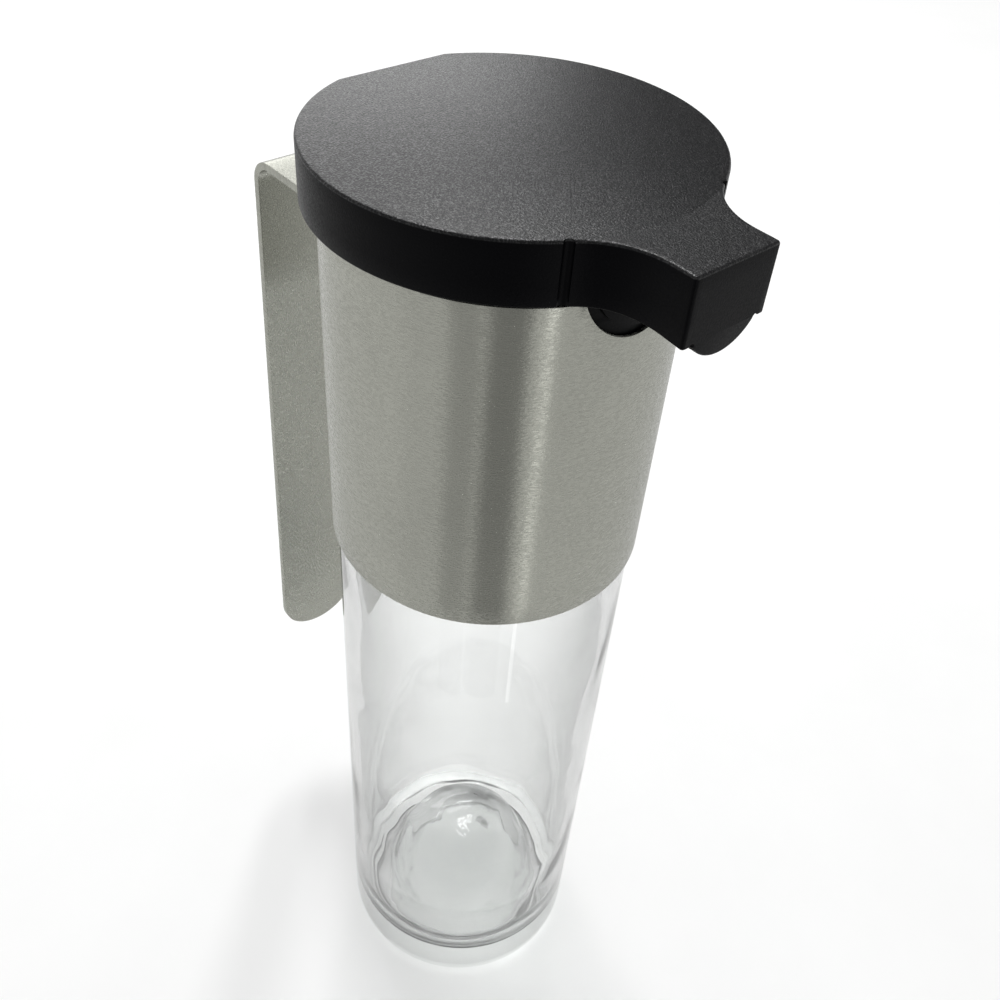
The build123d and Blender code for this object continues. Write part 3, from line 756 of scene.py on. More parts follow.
class RuleTree(NodeSheet):
    """A Geometry Nodes tree with named inputs."""

    def __init__(self, name: str, inputs: dict[str, str]) -> None:
        """Makes the tree and its inputs.

        Args:
            name: The tree's name.
            inputs: Each input's name and the end of its socket type.
        """
        super().__init__(bpy.data.node_groups.new(name, "GeometryNodeTree"))
        sides = self.tree.interface
        for label, kind in {**inputs, "Finish": "Material"}.items():
            sides.new_socket(label, in_out="INPUT", socket_type=f"NodeSocket{kind}")
        sides.new_socket("Geometry", in_out="OUTPUT", socket_type="NodeSocketGeometry")
        self.given = self.add("NodeGroupInput").outputs

    def end(self, shape: Socket) -> None:
        """Makes instances real, sets the finish and ends the tree.

        Args:
            shape: What the tree has made.
        """
        real = self.take("GeometryNodeRealizeInstances", {0: shape})
        inputs = {"Geometry": real, "Material": self.given["Finish"]}
        self.add("NodeGroupOutput", {0: self.take("GeometryNodeSetMaterial", inputs)})

    def bake(self, thing: Thing, values: dict[str, object]) -> None:
        """Runs the tree on an object and keeps the plain mesh.

        Args:
            thing: The object that it starts from.
            values: The inputs' values by name.
        """
        step = thing.modifiers.new(self.tree.name, "NODES")
        step.node_group = self.tree
        for item in self.tree.interface.items_tree:
            if item.item_type == "SOCKET" and item.in_out == "INPUT" and item.name in values:
                step[item.identifier] = values[item.name]
        settle(thing)
        shape = bmesh.new()
        shape.from_mesh(thing.data)
        bmesh.ops.recalc_face_normals(shape, faces=shape.faces)
        shape.to_mesh(thing.data)
        shape.free()


@dataclass(frozen=True)
class ProfilePoint:
    """A point of a turned form: its radius and height, and how far it follows the waves."""

    radius: float
    height: float
    wave_up: float = 0.0
    wave_out: float = 0.0


def turning_tree() -> RuleTree:
    """Draws the tree that turns a profile round the upright axis.

    Returns:
        The tree. Its points' attributes wave_out and wave_up say where the waves act.
    """
    kinds = {"Profile": "Geometry", "Sides": "Int"}
    kinds |= {label: "Float" for label in ("Wave Height", "Wave Scale", "Seed")}
    rule = RuleTree("turned_form", kinds)
    given = rule.given
    node = rule.add("GeometryNodeAttributeDomainSize", {0: given["Profile"]})
    across = rule.math("ADD", given["Sides"], 1)
    size = {"Size X": 1.0, "Size Y": 1.0}
    size |= {"Vertices X": node.outputs["Point Count"], "Vertices Y": across}
    grid = rule.take("GeometryNodeMeshGrid", size)
    index = rule.take("GeometryNodeInputIndex")
    station = rule.math("FLOOR", rule.math("DIVIDE", rule.math("ADD", index, 0.5), across))
    side = rule.math("SUBTRACT", index, rule.times(station, across))
    turn = rule.math("DIVIDE", rule.times(side, FULL_TURN), given["Sides"])
    cosine, sine = rule.math("COSINE", turn), rule.math("SINE", turn)

    def sampled(value: Socket, kind: str) -> Socket:
        """Reads a value at the profile's point."""
        inputs = {"Geometry": given["Profile"], "Value": value, "Index": station}
        return rule.take("GeometryNodeSampleIndex", inputs, data_type=kind, domain="POINT")

    def waved(name: str) -> Socket:
        """Reads how far the profile's point follows the waves."""
        kind = "GeometryNodeInputNamedAttribute"
        return sampled(rule.take(kind, {"Name": name}, data_type="FLOAT"), "FLOAT")

    def turned(radius: Socket, height: Socket) -> Socket:
        """Places a radius and height at this side's angle."""
        parts = {"X": rule.times(radius, cosine), "Y": rule.times(radius, sine), "Z": height}
        return rule.take("ShaderNodeCombineXYZ", parts)

    position = sampled(rule.take("GeometryNodeInputPosition"), "FLOAT_VECTOR")
    point = rule.add("ShaderNodeSeparateXYZ", {0: position}).outputs
    inputs = {"Vector": turned(point["X"], point["Z"]), "Scale": given["Wave Scale"]}
    inputs |= {"W": given["Seed"], "Detail": 1.0}
    noise = rule.take("ShaderNodeTexNoise", inputs, noise_dimensions="4D")
    swell = rule.times(rule.math("SUBTRACT", noise, 0.5), given["Wave Height"])
    radius = rule.math("ADD", point["X"], rule.times(swell, waved("wave_out")))
    height = rule.math("ADD", point["Z"], rule.times(swell, waved("wave_up")))
    inputs = {"Geometry": grid, "Position": turned(radius, height)}
    moved = rule.take("GeometryNodeSetPosition", inputs)
    inputs = {"Geometry": moved, "Distance": SEAM_DISTANCE}
    merged = rule.take("GeometryNodeMergeByDistance", inputs)
    rule.end(rule.take("GeometryNodeSetShadeSmooth", {"Geometry": merged}))
    return rule


def fastening_tree() -> RuleTree:
    """Draws the tree that sets one screw at each point, each turned by chance.

    Returns:
        The tree.
    """
    rule = RuleTree("fastening", {"Spots": "Geometry", "Screw": "Object", "Seed": "Int"})
    spots = rule.take("GeometryNodeMeshToPoints", {0: rule.given["Spots"]})
    holder = rule.add("GeometryNodeObjectInfo", {"Object": rule.given["Screw"]})
    chance = rule.add("FunctionNodeRandomValue", data_type="FLOAT")
    values = {"Min": 0.0, "Max": math.pi / 2, "Seed": rule.given["Seed"]}
    for socket in chance.inputs:
        if socket.enabled and socket.name in values:
            rule.feed(socket, values[socket.name])
    drawn = next(socket for socket in chance.outputs if socket.enabled)
    turn = rule.take("ShaderNodeCombineXYZ", {"Z": drawn})
    inputs = {"Points": spots, "Instance": holder.outputs["Geometry"], "Rotation": turn}
    rule.end(rule.take("GeometryNodeInstanceOnPoints", inputs))
    return rule


def turn_form(
    turning: RuleTree, name: str, points: Sequence[ProfilePoint], values: dict[str, object]
) -> Thing:
    """Turns a profile into a round form.

    Args:
        turning: The tree that turns profiles.
        name: The form's name.
        points: The profile's points in order, in millimetres.
        values: The tree's other inputs by name.

    Returns:
        The form, in metres.
    """
    mesh = bpy.data.meshes.new(name)
    places = [(point.radius * MM, 0.0, point.height * MM) for point in points]
    mesh.from_pydata(places, [(k, k + 1) for k in range(len(points) - 1)], [])
    for label in ("wave_out", "wave_up"):
        shares = mesh.attributes.new(label, "FLOAT", "POINT")
        shares.data.foreach_set("value", [getattr(point, label) for point in points])
    form = lay_object(name, mesh)
    turning.bake(form, values)
    return form


# ---- drawing lines ----


def on_circle(radius: float, degrees: float) -> Spot:
    """Gives the point at a radius and an angle from +X."""
    a = math.radians(degrees)
    return radius * math.cos(a), radius * math.sin(a)


def arc(centre: Spot, radius: float, start: float, end: float, steps: int) -> list[Spot]:
    """Lists points on an arc.

    Args:
        centre: Its centre.
        radius: Its radius.
        start: The first point's angle in degrees.
        end: The last point's angle in degrees.
        steps: How many parts it is divided in.

    Returns:
        The points, with both ends.
    """
    spots = [on_circle(radius, start + (end - start) * k / steps) for k in range(steps + 1)]
    return [(centre[0] + x, centre[1] + y) for x, y in spots]


def evenly(start: float, end: float, steps: int) -> list[float]:
    """Lists numbers from a start to an end, in equal steps and with both."""
    return [start + (end - start) * k / steps for k in range(steps + 1)]


def smooth_line(knots: Sequence[Spot], before: Spot, after: Spot, steps: int) -> list[Spot]:
    """Draws a smooth line through knots.

    Args:
        knots: The points it passes through.
        before: A point before the first knot that sets how it starts.
        after: A point after the last knot that sets how it ends.
        steps: How many parts each stretch is divided in.

    Returns:
        The line's points, with both ends.
    """
    guide = [Vector(point) for point in (before, *knots, after)]
    line = []
    for a, b, c, d in zip(guide, guide[1:], guide[2:], guide[3:]):
        reach = (c - b).length
        start = ((b - a).normalized() + (c - b).normalized()) * reach / 2
        end = ((c - b).normalized() + (d - c).normalized()) * reach / 2
        for k in range(steps):
            t = k / steps
            point = b * (2 * t**3 - 3 * t**2 + 1) + start * (t**3 - 2 * t**2 + t)
            point += c * (3 * t**2 - 2 * t**3) + end * (t**3 - t**2)
            line.append((point.x, point.y))
    return [*line, tuple(knots[-1])]


# ---- the object's sub-assemblies ----


@dataclass
class GlassBottle:
    """Clear glass bottle: straight barrel, thick base pushed up into a dome, open neck."""

    finish: Material
    turning: RuleTree
    radius: float = 24.2
    inner: float = 21.8
    height: float = 150.0
    neck_radius: float = 23.0
    neck_inner: float = 20.6
    neck_start: float = 129.0
    neck_taper: float = 3.0
    heel: float = 3.2
    rim_round: float = 0.8
    wall_foot: float = 14.0
    wall_steps: int = 26
    wave_ease: int = 4
    curve_steps: int = 4
    heel_steps: int = 8
    sides: int = 168
    wave_height: float = 0.4
    wave_scale: float = 85.0
    seed: float = 4.0
    keep_angle: float = 50.0
    dome: tuple[Spot, ...] = (
        *((0.0, 26.0), (4.0, 25.7), (8.0, 24.6), (11.4, 22.0), (12.8, 20.0), (15.0, 14.7)),
        *((17.0, 9.2), (18.5, 8.0), (19.7, 8.6), (21.0, 10.7), (21.8, 14.0)),
    )
    underside: tuple[Spot, ...] = (
        *((19.8, 0.0), (18.5, 1.5), (17.0, 3.6), (15.0, 7.2), (12.8, 11.75), (11.4, 14.2)),
        *((8.0, 18.1), (4.0, 20.0), (0.0, 20.5)),
    )
    foot_guide: float = -0.8

    def profile(self) -> list[ProfilePoint]:
        """Lists the profile from the dome's top over the rim to the middle of the underside.

        Returns:
            Its points, with waves on the dome and on the inside of the wall.
        """
        points = []
        (top_x, top_z), under_z = self.dome[1], self.underside[-2][1]
        guides = (-top_x, top_z), (self.inner, 2 * self.wall_foot)
        for radius, height in smooth_line(self.dome, *guides, self.curve_steps):
            share = min(1.0, radius / self.inner)
            points.append(ProfilePoint(radius, height, wave_up=1 - share**4))
        shoulder, steps = self.neck_start - self.neck_taper, self.wall_steps
        for k, height in enumerate(evenly(self.wall_foot, shoulder, steps)[1:-1], 1):
            ease = min(1.0, k / self.wave_ease, (steps - k) / self.wave_ease)
            points.append(ProfilePoint(self.inner, height, wave_out=ease))
        turn, rim = self.rim_round, self.height - self.rim_round
        outline = [(self.inner, shoulder), (self.neck_inner, self.neck_start)]
        outline += arc((self.neck_inner + turn, rim), turn, 180, 90, self.curve_steps)
        outline += arc((self.neck_radius - turn, rim), turn, 90, 0, self.curve_steps)
        outline += [(self.neck_radius, self.neck_start), (self.radius, shoulder)]
        outline += [(self.radius, z) for z in evenly(shoulder, self.heel, steps)[1:-1]]
        foot_outer = self.radius - self.heel
        outline += arc((foot_outer, self.heel), self.heel, 0, -90, self.heel_steps)
        guides = (foot_outer, self.foot_guide), (-top_x, under_z)
        outline += smooth_line(self.underside, *guides, self.curve_steps)
        return points + [ProfilePoint(radius, height) for radius, height in outline]

    def build(self) -> None:
        """Turns the bottle and hands it over."""
        values = {"Sides": self.sides, "Seed": self.seed, "Finish": self.finish}
        values |= {"Wave Height": self.wave_height * MM, "Wave Scale": self.wave_scale}
        bottle = turn_form(self.turning, "bottle_glass", self.profile(), values)
        smooth(bottle, self.keep_angle)
        hand_over(bottle, self.finish, "bottle", "clear_glass", "glass_bottle")


@dataclass
class SteelSleeve:
    """Brushed steel sleeve with the spout's notch in front and the handle's slot behind."""

    finish: Material
    radius: float = 25.0
    wall: float = 0.6
    bottom: float = 119.2
    top: float = 174.0
    notch_radius: float = 8.6
    notch_height: float = 176.2
    slot_half: float = 9.4
    slot_bottom: float = 162.05
    slot_top: float = 163.55
    edge_round: float = 0.16
    columns: int = 132
    notch_columns: int = 28
    slot_columns: int = 16
    low_rows: int = 12
    high_rows: int = 4
    round_steps: int = 2
    keep_angle: float = 40.0

    def angles(self) -> list[float]:
        """Lists the columns' angles, closer together at the notch and fitted to the slot.

        Returns:
            The angles from +X in radians, once round.
        """
        notch_half = math.sqrt(self.notch_radius**2 - (self.notch_height - self.top) ** 2)
        notch = math.asin(notch_half / self.radius)
        slot = math.asin(self.slot_half / self.radius)
        steps = (self.columns - self.notch_columns) // 2
        turns = [math.pi * (k / self.notch_columns - 0.5) for k in range(self.notch_columns + 1)]
        found = [notch * math.sin(turn) for turn in turns]
        found += evenly(notch, math.pi - slot, steps)[1:]
        found += evenly(math.pi - slot, math.pi + slot, self.slot_columns)[1:]
        return found + evenly(math.pi + slot, FULL_TURN - notch, steps)[1:-1]

    def top_at(self, aside: float) -> float:
        """Gives the upper edge's height in front, at a distance from the middle plane."""
        drop = math.sqrt(max(0.0, self.notch_radius**2 - aside**2))
        return min(self.top, self.notch_height - drop) if drop else self.top

    def build(self) -> None:
        """Bends the sleeve and hands it over."""
        shape = bmesh.new()
        columns = []
        for angle in self.angles():
            x, y = self.radius * math.cos(angle), self.radius * math.sin(angle)
            top = self.top if x < 0 else self.top_at(y)
            levels = evenly(self.bottom, self.slot_bottom, self.low_rows)
            levels += evenly(self.slot_top, top, self.high_rows)
            columns.append([shape.verts.new((x, y, z)) for z in levels])
        for column, following in zip(columns, columns[1:] + columns[:1]):
            middle = (column[0].co + following[0].co) / 2
            behind = middle.x < 0 and abs(middle.y) < self.slot_half
            for row in range(len(column) - 1):
                if not (behind and row == self.low_rows):
                    low, high = (column[row], following[row]), (following[row + 1], column[row + 1])
                    shape.faces.new((*low, *high))
        sleeve = close_up(shape, "sleeve")
        change(sleeve, "SOLIDIFY", thickness=self.wall * MM, offset=-1.0)
        soften(sleeve, self.edge_round, self.round_steps)
        smooth(sleeve, self.keep_angle)
        hand_over(sleeve, self.finish, "head", "sleeve_steel", "steel_sleeve")


@dataclass
class StrapHandle:
    """Strap handle: one flat strip, bent over at the top and leaning out a little."""

    finish: Material
    half_width: float = 9.25
    thickness: float = 1.2
    reach: float = 50.4
    top: float = 163.4
    end_height: float = 42.0
    tab_end: float = -11.5
    lean: float = 3.15
    bend: float = 4.5
    tab_steps: int = 12
    bend_steps: int = 12
    straight_steps: int = 20
    end_steps: int = 16
    shares: tuple[float, ...] = (-1, -0.97, -0.8, -0.6, -0.4, -0.2, 0, 0.2, 0.4, 0.6, 0.8, 0.97, 1)
    screw_x: float = -17.0
    screw_y: float = 5.0
    screw_hole: float = 1.55
    hole_sides: int = 32
    hole_reach: float = 3.0
    edge_round: float = 0.3
    round_steps: int = 3
    keep_angle: float = 35.0

    def line(self) -> list[tuple[Vector, float]]:
        """Follows the outer face's middle line.

        Returns:
            Its points in the upright plane, each with the strip's half width there.
        """
        lean = math.radians(self.lean)
        turn = math.pi / 2 - lean
        setback = self.bend * math.tan(turn / 2)
        down = Vector((-math.sin(lean), 0, -math.cos(lean)))
        corner = Vector((-self.reach, 0, self.top))
        start = Vector((self.tab_end, 0, self.top))
        bend_start, bend_end = corner + Vector((setback, 0, 0)), corner + down * setback
        centre = bend_start - Vector((0, 0, self.bend))
        places = [start.lerp(bend_start, share) for share in evenly(0, 1, self.tab_steps)[:-1]]
        for a in evenly(math.pi / 2, math.pi / 2 + turn, self.bend_steps):
            places.append(centre + self.bend * Vector((math.cos(a), 0, math.sin(a))))
        length = (self.top - self.end_height) / math.cos(lean) - setback
        straight = length - self.half_width
        places += [bend_end + down * run for run in evenly(0, straight, self.straight_steps)[1:]]
        found = [(place, self.half_width) for place in places]
        for a in evenly(0, math.pi / 2, self.end_steps)[1:]:
            place = bend_end + down * (straight + self.half_width * math.sin(a))
            found.append((place, self.half_width * math.cos(a)))
        return found

    def build(self) -> None:
        """Bends the strip, laying a flat map on it for the brush lines, and hands it over."""
        shape = bmesh.new()
        flat = shape.loops.layers.uv.new(STRIP_MAP)
        line = self.line()
        rows, run, last = [], 0.0, line[0][0]
        for place, half in line:
            run += (place - last).length
            last = place
            across = [share * half for share in self.shares]
            verts = [shape.verts.new(place + Vector((0, y, 0))) for y in across]
            rows.append([(vert, (y * MM, run * MM)) for vert, y in zip(verts, across)])
        for row, following in zip(rows, rows[1:]):
            for corners in zip(row, row[1:], following[1:], following):
                face = shape.faces.new([vert for vert, _ in corners])
                for loop, (_, spot) in zip(face.loops, corners):
                    loop[flat].uv = spot
        strap = close_up(shape, "strap")
        outward = max(strap.data.polygons, key=lambda face: face.center.z).normal.z
        inward = -1.0 if outward > 0 else 1.0
        change(strap, "SOLIDIFY", thickness=self.thickness * MM, offset=inward)
        holes = []
        for y in (-self.screw_y, self.screw_y):
            heights = (self.top - self.hole_reach, self.top + self.hole_reach)
            ends = (Vector((self.screw_x, y, z)) for z in heights)
            holes.append(rod(*ends, self.screw_hole, "screw_hole", self.hole_sides))
        combine(strap, holes, "DIFFERENCE")
        soften(strap, self.edge_round, self.round_steps)
        smooth(strap, self.keep_angle)
        hand_over(strap, self.finish, "head", "strap_steel", "handle_strap")


@dataclass
class Lid:
    """Lid: shell with a flat at the hinge, a beak over the spout and a tongue that shuts it."""

    finish: Material
    radius: float = 27.1
    flat_x: float = -25.6
    front_x: float = 37.0
    beak_half: float = 7.0
    beak_drop: float = 0.85
    flare: float = 11.0
    corner: float = 0.5
    least_corner: float = 0.04
    bottom: float = 175.3
    top: float = 183.65
    top_wall: float = 1.6
    wall: float = 1.4
    top_round: float = 0.4
    bottom_round: float = 0.3
    bottom_turns: tuple[float, ...] = (0.0, 0.52, 1.05, math.pi / 2)
    ceiling_loop: float = 1.0
    lip_loop: float = 0.4
    side_loop: float = 2.6
    top_loops: tuple[float, ...] = (0.25, 1.6)
    nick_radius: float = 0.7
    nick_setback: float = 0.1
    tongue_radius: float = 6.2
    tongue_height: float = 177.8
    tongue_round: float = 0.3
    tongue_round_steps: int = 4
    shoulder_nick: float = 0.5
    cheek_inner: float = 4.3
    cheek_wall: float = 2.2
    knuckle_radius: float = 2.1
    pin_x: float = -23.1
    pin_z: float = 178.0
    pin_radius: float = 1.01
    opening_top: float = 180.8
    opening_gap: float = 0.05
    rib_y: float = 11.0
    rib_wall: float = 1.2
    rib_half_length: float = 17.0
    rib_bottom: float = 176.0
    beyond: float = 1.0
    front_steps: int = 8
    side_steps: int = 5
    corner_steps: int = 6
    flare_steps: int = 20
    round_steps: int = 72
    flat_shares: tuple[float, ...] = (0.96, 0.75, 0.5, 0.25)
    tongue_steps: int = 40
    knuckle_steps: int = 24
    nick_sides: int = 28
    shoulder_sides: int = 24
    pin_sides: int = 36
    keep_angle: float = 32.0

    def flare_angle(self) -> float:
        """Gives the angle from +X at which a flare meets the round edge, in degrees."""
        return math.degrees(math.asin((self.beak_half + self.flare) / (self.radius + self.flare)))

    def half_outline(self, inset: float) -> list[Spot]:
        """Draws the outline's left half from the beak's front to the flat.

        Args:
            inset: How far inside the lid's edge it runs.

        Returns:
            Points with y from 0 up and back to 0, equally many for every inset.
        """
        front, half = self.front_x - inset, self.beak_half - inset
        corner = max(self.corner - inset, self.least_corner)
        meet = self.flare_angle()
        centre = on_circle(self.radius + self.flare, meet)
        round_radius, flat = self.radius - inset, self.flat_x + inset
        stop = math.degrees(math.acos(flat / round_radius))
        edge = on_circle(round_radius, stop)[1]
        points = [(front, y) for y in evenly(0, half - corner, self.front_steps)[:-1]]
        points += arc((front - corner, half - corner), corner, 0, 90, self.corner_steps)
        points += [(x, half) for x in evenly(front - corner, centre[0], self.side_steps)[1:-1]]
        points += arc(centre, self.flare + inset, -90, -180 + meet, self.flare_steps)
        points += arc((0.0, 0.0), round_radius, meet, stop, self.round_steps)[1:]
        return points + [(flat, edge * share) for share in self.flat_shares]

    def outline(self, inset: float, height: float) -> Loop:
        """Draws the whole outline, which hangs lower along the beak near the bottom edge.

        Args:
            inset: How far inside the lid's edge it runs.
            height: Its height.

        Returns:
            The outline's points.
        """
        left = self.half_outline(inset)
        right = [(x, -y) for x, y in reversed(left[1:])]
        drop = self.beak_drop if height < self.bottom + self.beyond else 0.0
        loop = []
        for x, y in [*left, (self.flat_x + inset, 0.0), *right]:
            share = max(0.0, x - self.radius) / (self.front_x - self.radius)
            loop.append(Vector((x, y, height - drop * share)))
        return loop

    def shell(self) -> Thing:
        """Stacks the shell: inside, bottom edge, skirt, rounded rim and top.

        Returns:
            The shell.
        """
        under, low, high = self.top - self.top_wall, self.bottom_round, self.top_round
        steps = [(self.wall + self.ceiling_loop, under), (self.wall, under)]
        steps += [(self.wall, self.bottom + self.lip_loop), (self.wall, self.bottom)]
        for a in self.bottom_turns:
            steps.append((low * (1 - math.sin(a)), self.bottom + low * (1 - math.cos(a))))
        steps += [(0.0, self.bottom + self.side_loop), (0.0, self.top - self.side_loop)]
        steps += arc((high, self.top - high), high, 180, 90, self.corner_steps)
        steps += [(high + inset, self.top) for inset in self.top_loops]
        return solid("lid", [self.outline(*step) for step in steps])

    def tongue(self) -> Thing:
        """Makes the tongue below the beak's front, with a rounded edge.

        Returns:
            The tongue.
        """
        up = self.bottom + self.bottom_round - self.tongue_height
        edge = self.tongue_round
        steps = [(self.front_x - self.wall, 0.0)]
        steps += arc((self.front_x - edge, edge), edge, -90, 0, self.tongue_round_steps)
        loops = []
        for x, inset in steps:
            radius = self.tongue_radius - inset
            side = math.degrees(math.asin(up / radius))
            centre = (0.0, self.tongue_height)
            spots = arc(centre, radius, side, -180 - side, self.tongue_steps)
            loops.append([Vector((x, y, z)) for y, z in spots])
        return solid("tongue", loops)

    def cheeks(self) -> list[Thing]:
        """Makes the two cheeks that hold the hinge pin.

        Returns:
            The cheeks, without their holes.
        """
        top, half = self.top - self.top_wall / 2, self.knuckle_radius
        spots = arc((self.pin_x, self.pin_z), half, 180, 360, self.knuckle_steps)
        spots += [(self.pin_x + half, top), (self.pin_x - half, top)]
        found = []
        for side in (-1, 1):
            ends = (side * self.cheek_inner, side * (self.cheek_inner + self.cheek_wall))
            found.append(solid("cheek", [[Vector((x, y, z)) for x, z in spots] for y in ends]))
        return found

    def ribs(self) -> list[Thing]:
        """Makes the two stiffening ribs under the top.

        Returns:
            The ribs.
        """
        top, half, wall = self.top - self.top_wall / 2, self.rib_half_length, self.rib_wall / 2
        found = []
        for y in (-self.rib_y, self.rib_y):
            found.append(block((-half, y - wall, self.rib_bottom), (half, y + wall, top), "rib"))
        return found

    def cutters(self) -> list[Thing]:
        """Makes what is cut away: hinge opening, nicks beside beak and tongue, pin hole.

        Returns:
            The closed shapes to cut.
        """
        beyond, under = self.beyond, self.bottom - self.beak_drop
        low = (self.flat_x - beyond, -self.cheek_inner, self.bottom - beyond)
        high = (self.flat_x + self.wall + self.opening_gap, self.cheek_inner, self.opening_top)
        cuts = [block(low, high, "knuckle_opening")]
        nick_x, nick_y = on_circle(self.radius + self.nick_setback, self.flare_angle())
        shoulder = math.sqrt(self.tongue_radius**2 - (self.tongue_height - under) ** 2)
        for side in (-1, 1):
            heights = (self.bottom - beyond, self.top + beyond)
            ends = (Vector((nick_x, side * nick_y, z)) for z in heights)
            cuts.append(rod(*ends, self.nick_radius, "nick", self.nick_sides))
            y = side * (shoulder + self.shoulder_nick / 2)
            ends = (Vector((self.front_x + x, y, under)) for x in (-2 * beyond, beyond))
            cuts.append(rod(*ends, self.shoulder_nick, "shoulder_nick", self.shoulder_sides))
        reach = self.cheek_inner + self.cheek_wall + beyond
        ends = (Vector((self.pin_x, y, self.pin_z)) for y in (-reach, reach))
        return [*cuts, rod(*ends, self.pin_radius, "pin_hole", self.pin_sides)]

    def build(self) -> None:
        """Joins the lid's forms, cuts it free and hands it over."""
        lid = self.shell()
        combine(lid, [self.tongue(), *self.cheeks(), *self.ribs()], "UNION")
        combine(lid, self.cutters(), "DIFFERENCE")
        smooth(lid, self.keep_angle)
        hand_over(lid, self.finish, "lid", "lid_plastic", "lid_shell")


@dataclass
class Screws:
    """Screws with a cross recess, all alike, set at their spots."""

    name: str
    nodes: tuple[str, ...]
    spots: tuple[Spot, ...]
    top: float
    head: tuple[Spot, ...]
    shank: float
    length: float
    recess_half: float
    recess_depth: float = 0.7
    recess_width: float = 0.5
    tip_length: float = 0.4
    tip_inset: float = 0.35
    sides: int = 40
    seed: int = 3
    keep_angle: float = 35.0

    def one(self, turning: RuleTree, finish: Material) -> Thing:
        """Turns one screw with its head's top at the origin and cuts its cross.

        Args:
            turning: The tree that turns profiles.
            finish: The steel.

        Returns:
            The screw, a helper that the fastening tree copies.
        """
        outline = [*self.head, (self.shank, self.head[-1][1])]
        outline.append((self.shank, self.tip_length - self.length))
        outline += [(self.shank - self.tip_inset, -self.length), (0.0, -self.length)]
        points = [ProfilePoint(radius, height) for radius, height in outline]
        values = {"Sides": self.sides, "Wave Height": 0.0, "Wave Scale": 1.0, "Seed": 0.0}
        screw = turn_form(turning, f"{self.name}_one", points, values | {"Finish": finish})
        high = max(height for _, height in self.head)
        low, wide = high - self.recess_depth, self.recess_width / 2
        cross = []
        for x, y in ((self.recess_half, wide), (wide, self.recess_half)):
            cross.append(block((-x, -y, low), (x, y, high + 1), "recess"))
        combine(screw, cross, "DIFFERENCE")
        return screw

    def build(self, turning: RuleTree, fastening: RuleTree, finish: Material) -> None:
        """Sets the screws and hands them over.

        Args:
            turning: The tree that turns profiles.
            fastening: The tree that copies one screw to every spot.
            finish: The steel.
        """
        screw = self.one(turning, finish)
        mesh = bpy.data.meshes.new(self.name)
        mesh.from_pydata([(x * MM, y * MM, self.top * MM) for x, y in self.spots], [], [])
        screws = lay_object(self.name, mesh)
        fastening.bake(screws, {"Screw": screw, "Seed": self.seed, "Finish": finish})
        bpy.data.objects.remove(screw)
        smooth(screws, self.keep_angle)
        hand_over(screws, finish, "head", "fastener_steel", *self.nodes)


@dataclass
class PouringHead:
    """Parts of the pouring head and the hinge that keep their CAD shape, and all screws."""

    finishes: dict[str, Material]
    turning: RuleTree
    dressed: dict[str, tuple[str, ...]] = field(
        default_factory=lambda: {
            "head_plastic": ("pour_head", "spout_deck"),
            "silicone": ("mouth_gasket", "upper_plug_ring", "lower_plug_ring", "deck_bumpers"),
            # The black silicone here is painted shade.
            "shade_black_silicone": ("deck_gasket", "mouth_pad"),
            "fastener_steel": ("hinge_pin",),
            "tube_steel": ("vent_tube",),
        }
    )
    deck_top: float = 173.2
    screw_circle: float = 20.0
    screw_angles: tuple[float, ...] = (55.0, 125.0, 235.0, 305.0)
    tab_top: float = 163.4
    tab_spots: tuple[Spot, ...] = ((-17.0, 5.0), (-17.0, -5.0))

    def dress(self) -> None:
        """Gives the CAD parts their materials."""
        for slot, names in self.dressed.items():
            for name in names:
                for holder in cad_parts[name].material_slots:
                    holder.material = self.finishes[slot]
                LOG.info("%s: CAD shape in %s", name, slot)

    def fasten(self) -> None:
        """Sets the deck screws and the handle screws."""
        deck = Screws(
            name="deck_screw_set",
            nodes=("deck_screws",),
            spots=tuple(on_circle(self.screw_circle, angle) for angle in self.screw_angles),
            top=self.deck_top,
            head=((0.0, 0.0), (1.9, 0.0), (2.0, -0.1), (1.0, -1.05)),
            shank=1.0,
            length=7.0,
            recess_half=1.0,
        )
        handle = Screws(
            name="handle_screw_set",
            nodes=("handle_screws",),
            spots=self.tab_spots,
            top=self.tab_top,
            head=((0.0, 1.7), (1.6, 1.7), (2.1, 1.6), (2.45, 1.35), (2.6, 0.95), (2.6, 0.0)),
            shank=1.5,
            length=8.0,
            recess_half=1.5,
        )
        fastening = fastening_tree()
        for screws in (deck, handle):
            screws.build(self.turning, fastening, self.finishes["fastener_steel"])


# ---- the studio ----


@dataclass(frozen=True)
class Lamp:
    """A flat lamp that looks at the object."""

    name: str
    azimuth: float
    elevation: float
    distance: float
    width: float
    height: float
    strength: float

    def build(self, target: Vector) -> None:
        """Hangs the lamp.

        Args:
            target: What it looks at, in metres.
        """
        data = bpy.data.lights.new(self.name, "AREA")
        data.shape, data.size, data.size_y = "RECTANGLE", self.width, self.height
        data.energy = self.strength * math.pi * self.width * self.height
        flat, rise = on_circle(1.0, self.elevation)
        away = Vector((*on_circle(flat, self.azimuth), rise))
        lamp = lay_object(self.name, data)
        lamp.location = target + away * self.distance
        lamp.rotation_euler = away.to_track_quat("Z", "Y").to_euler()
        lamp.visible_camera = False


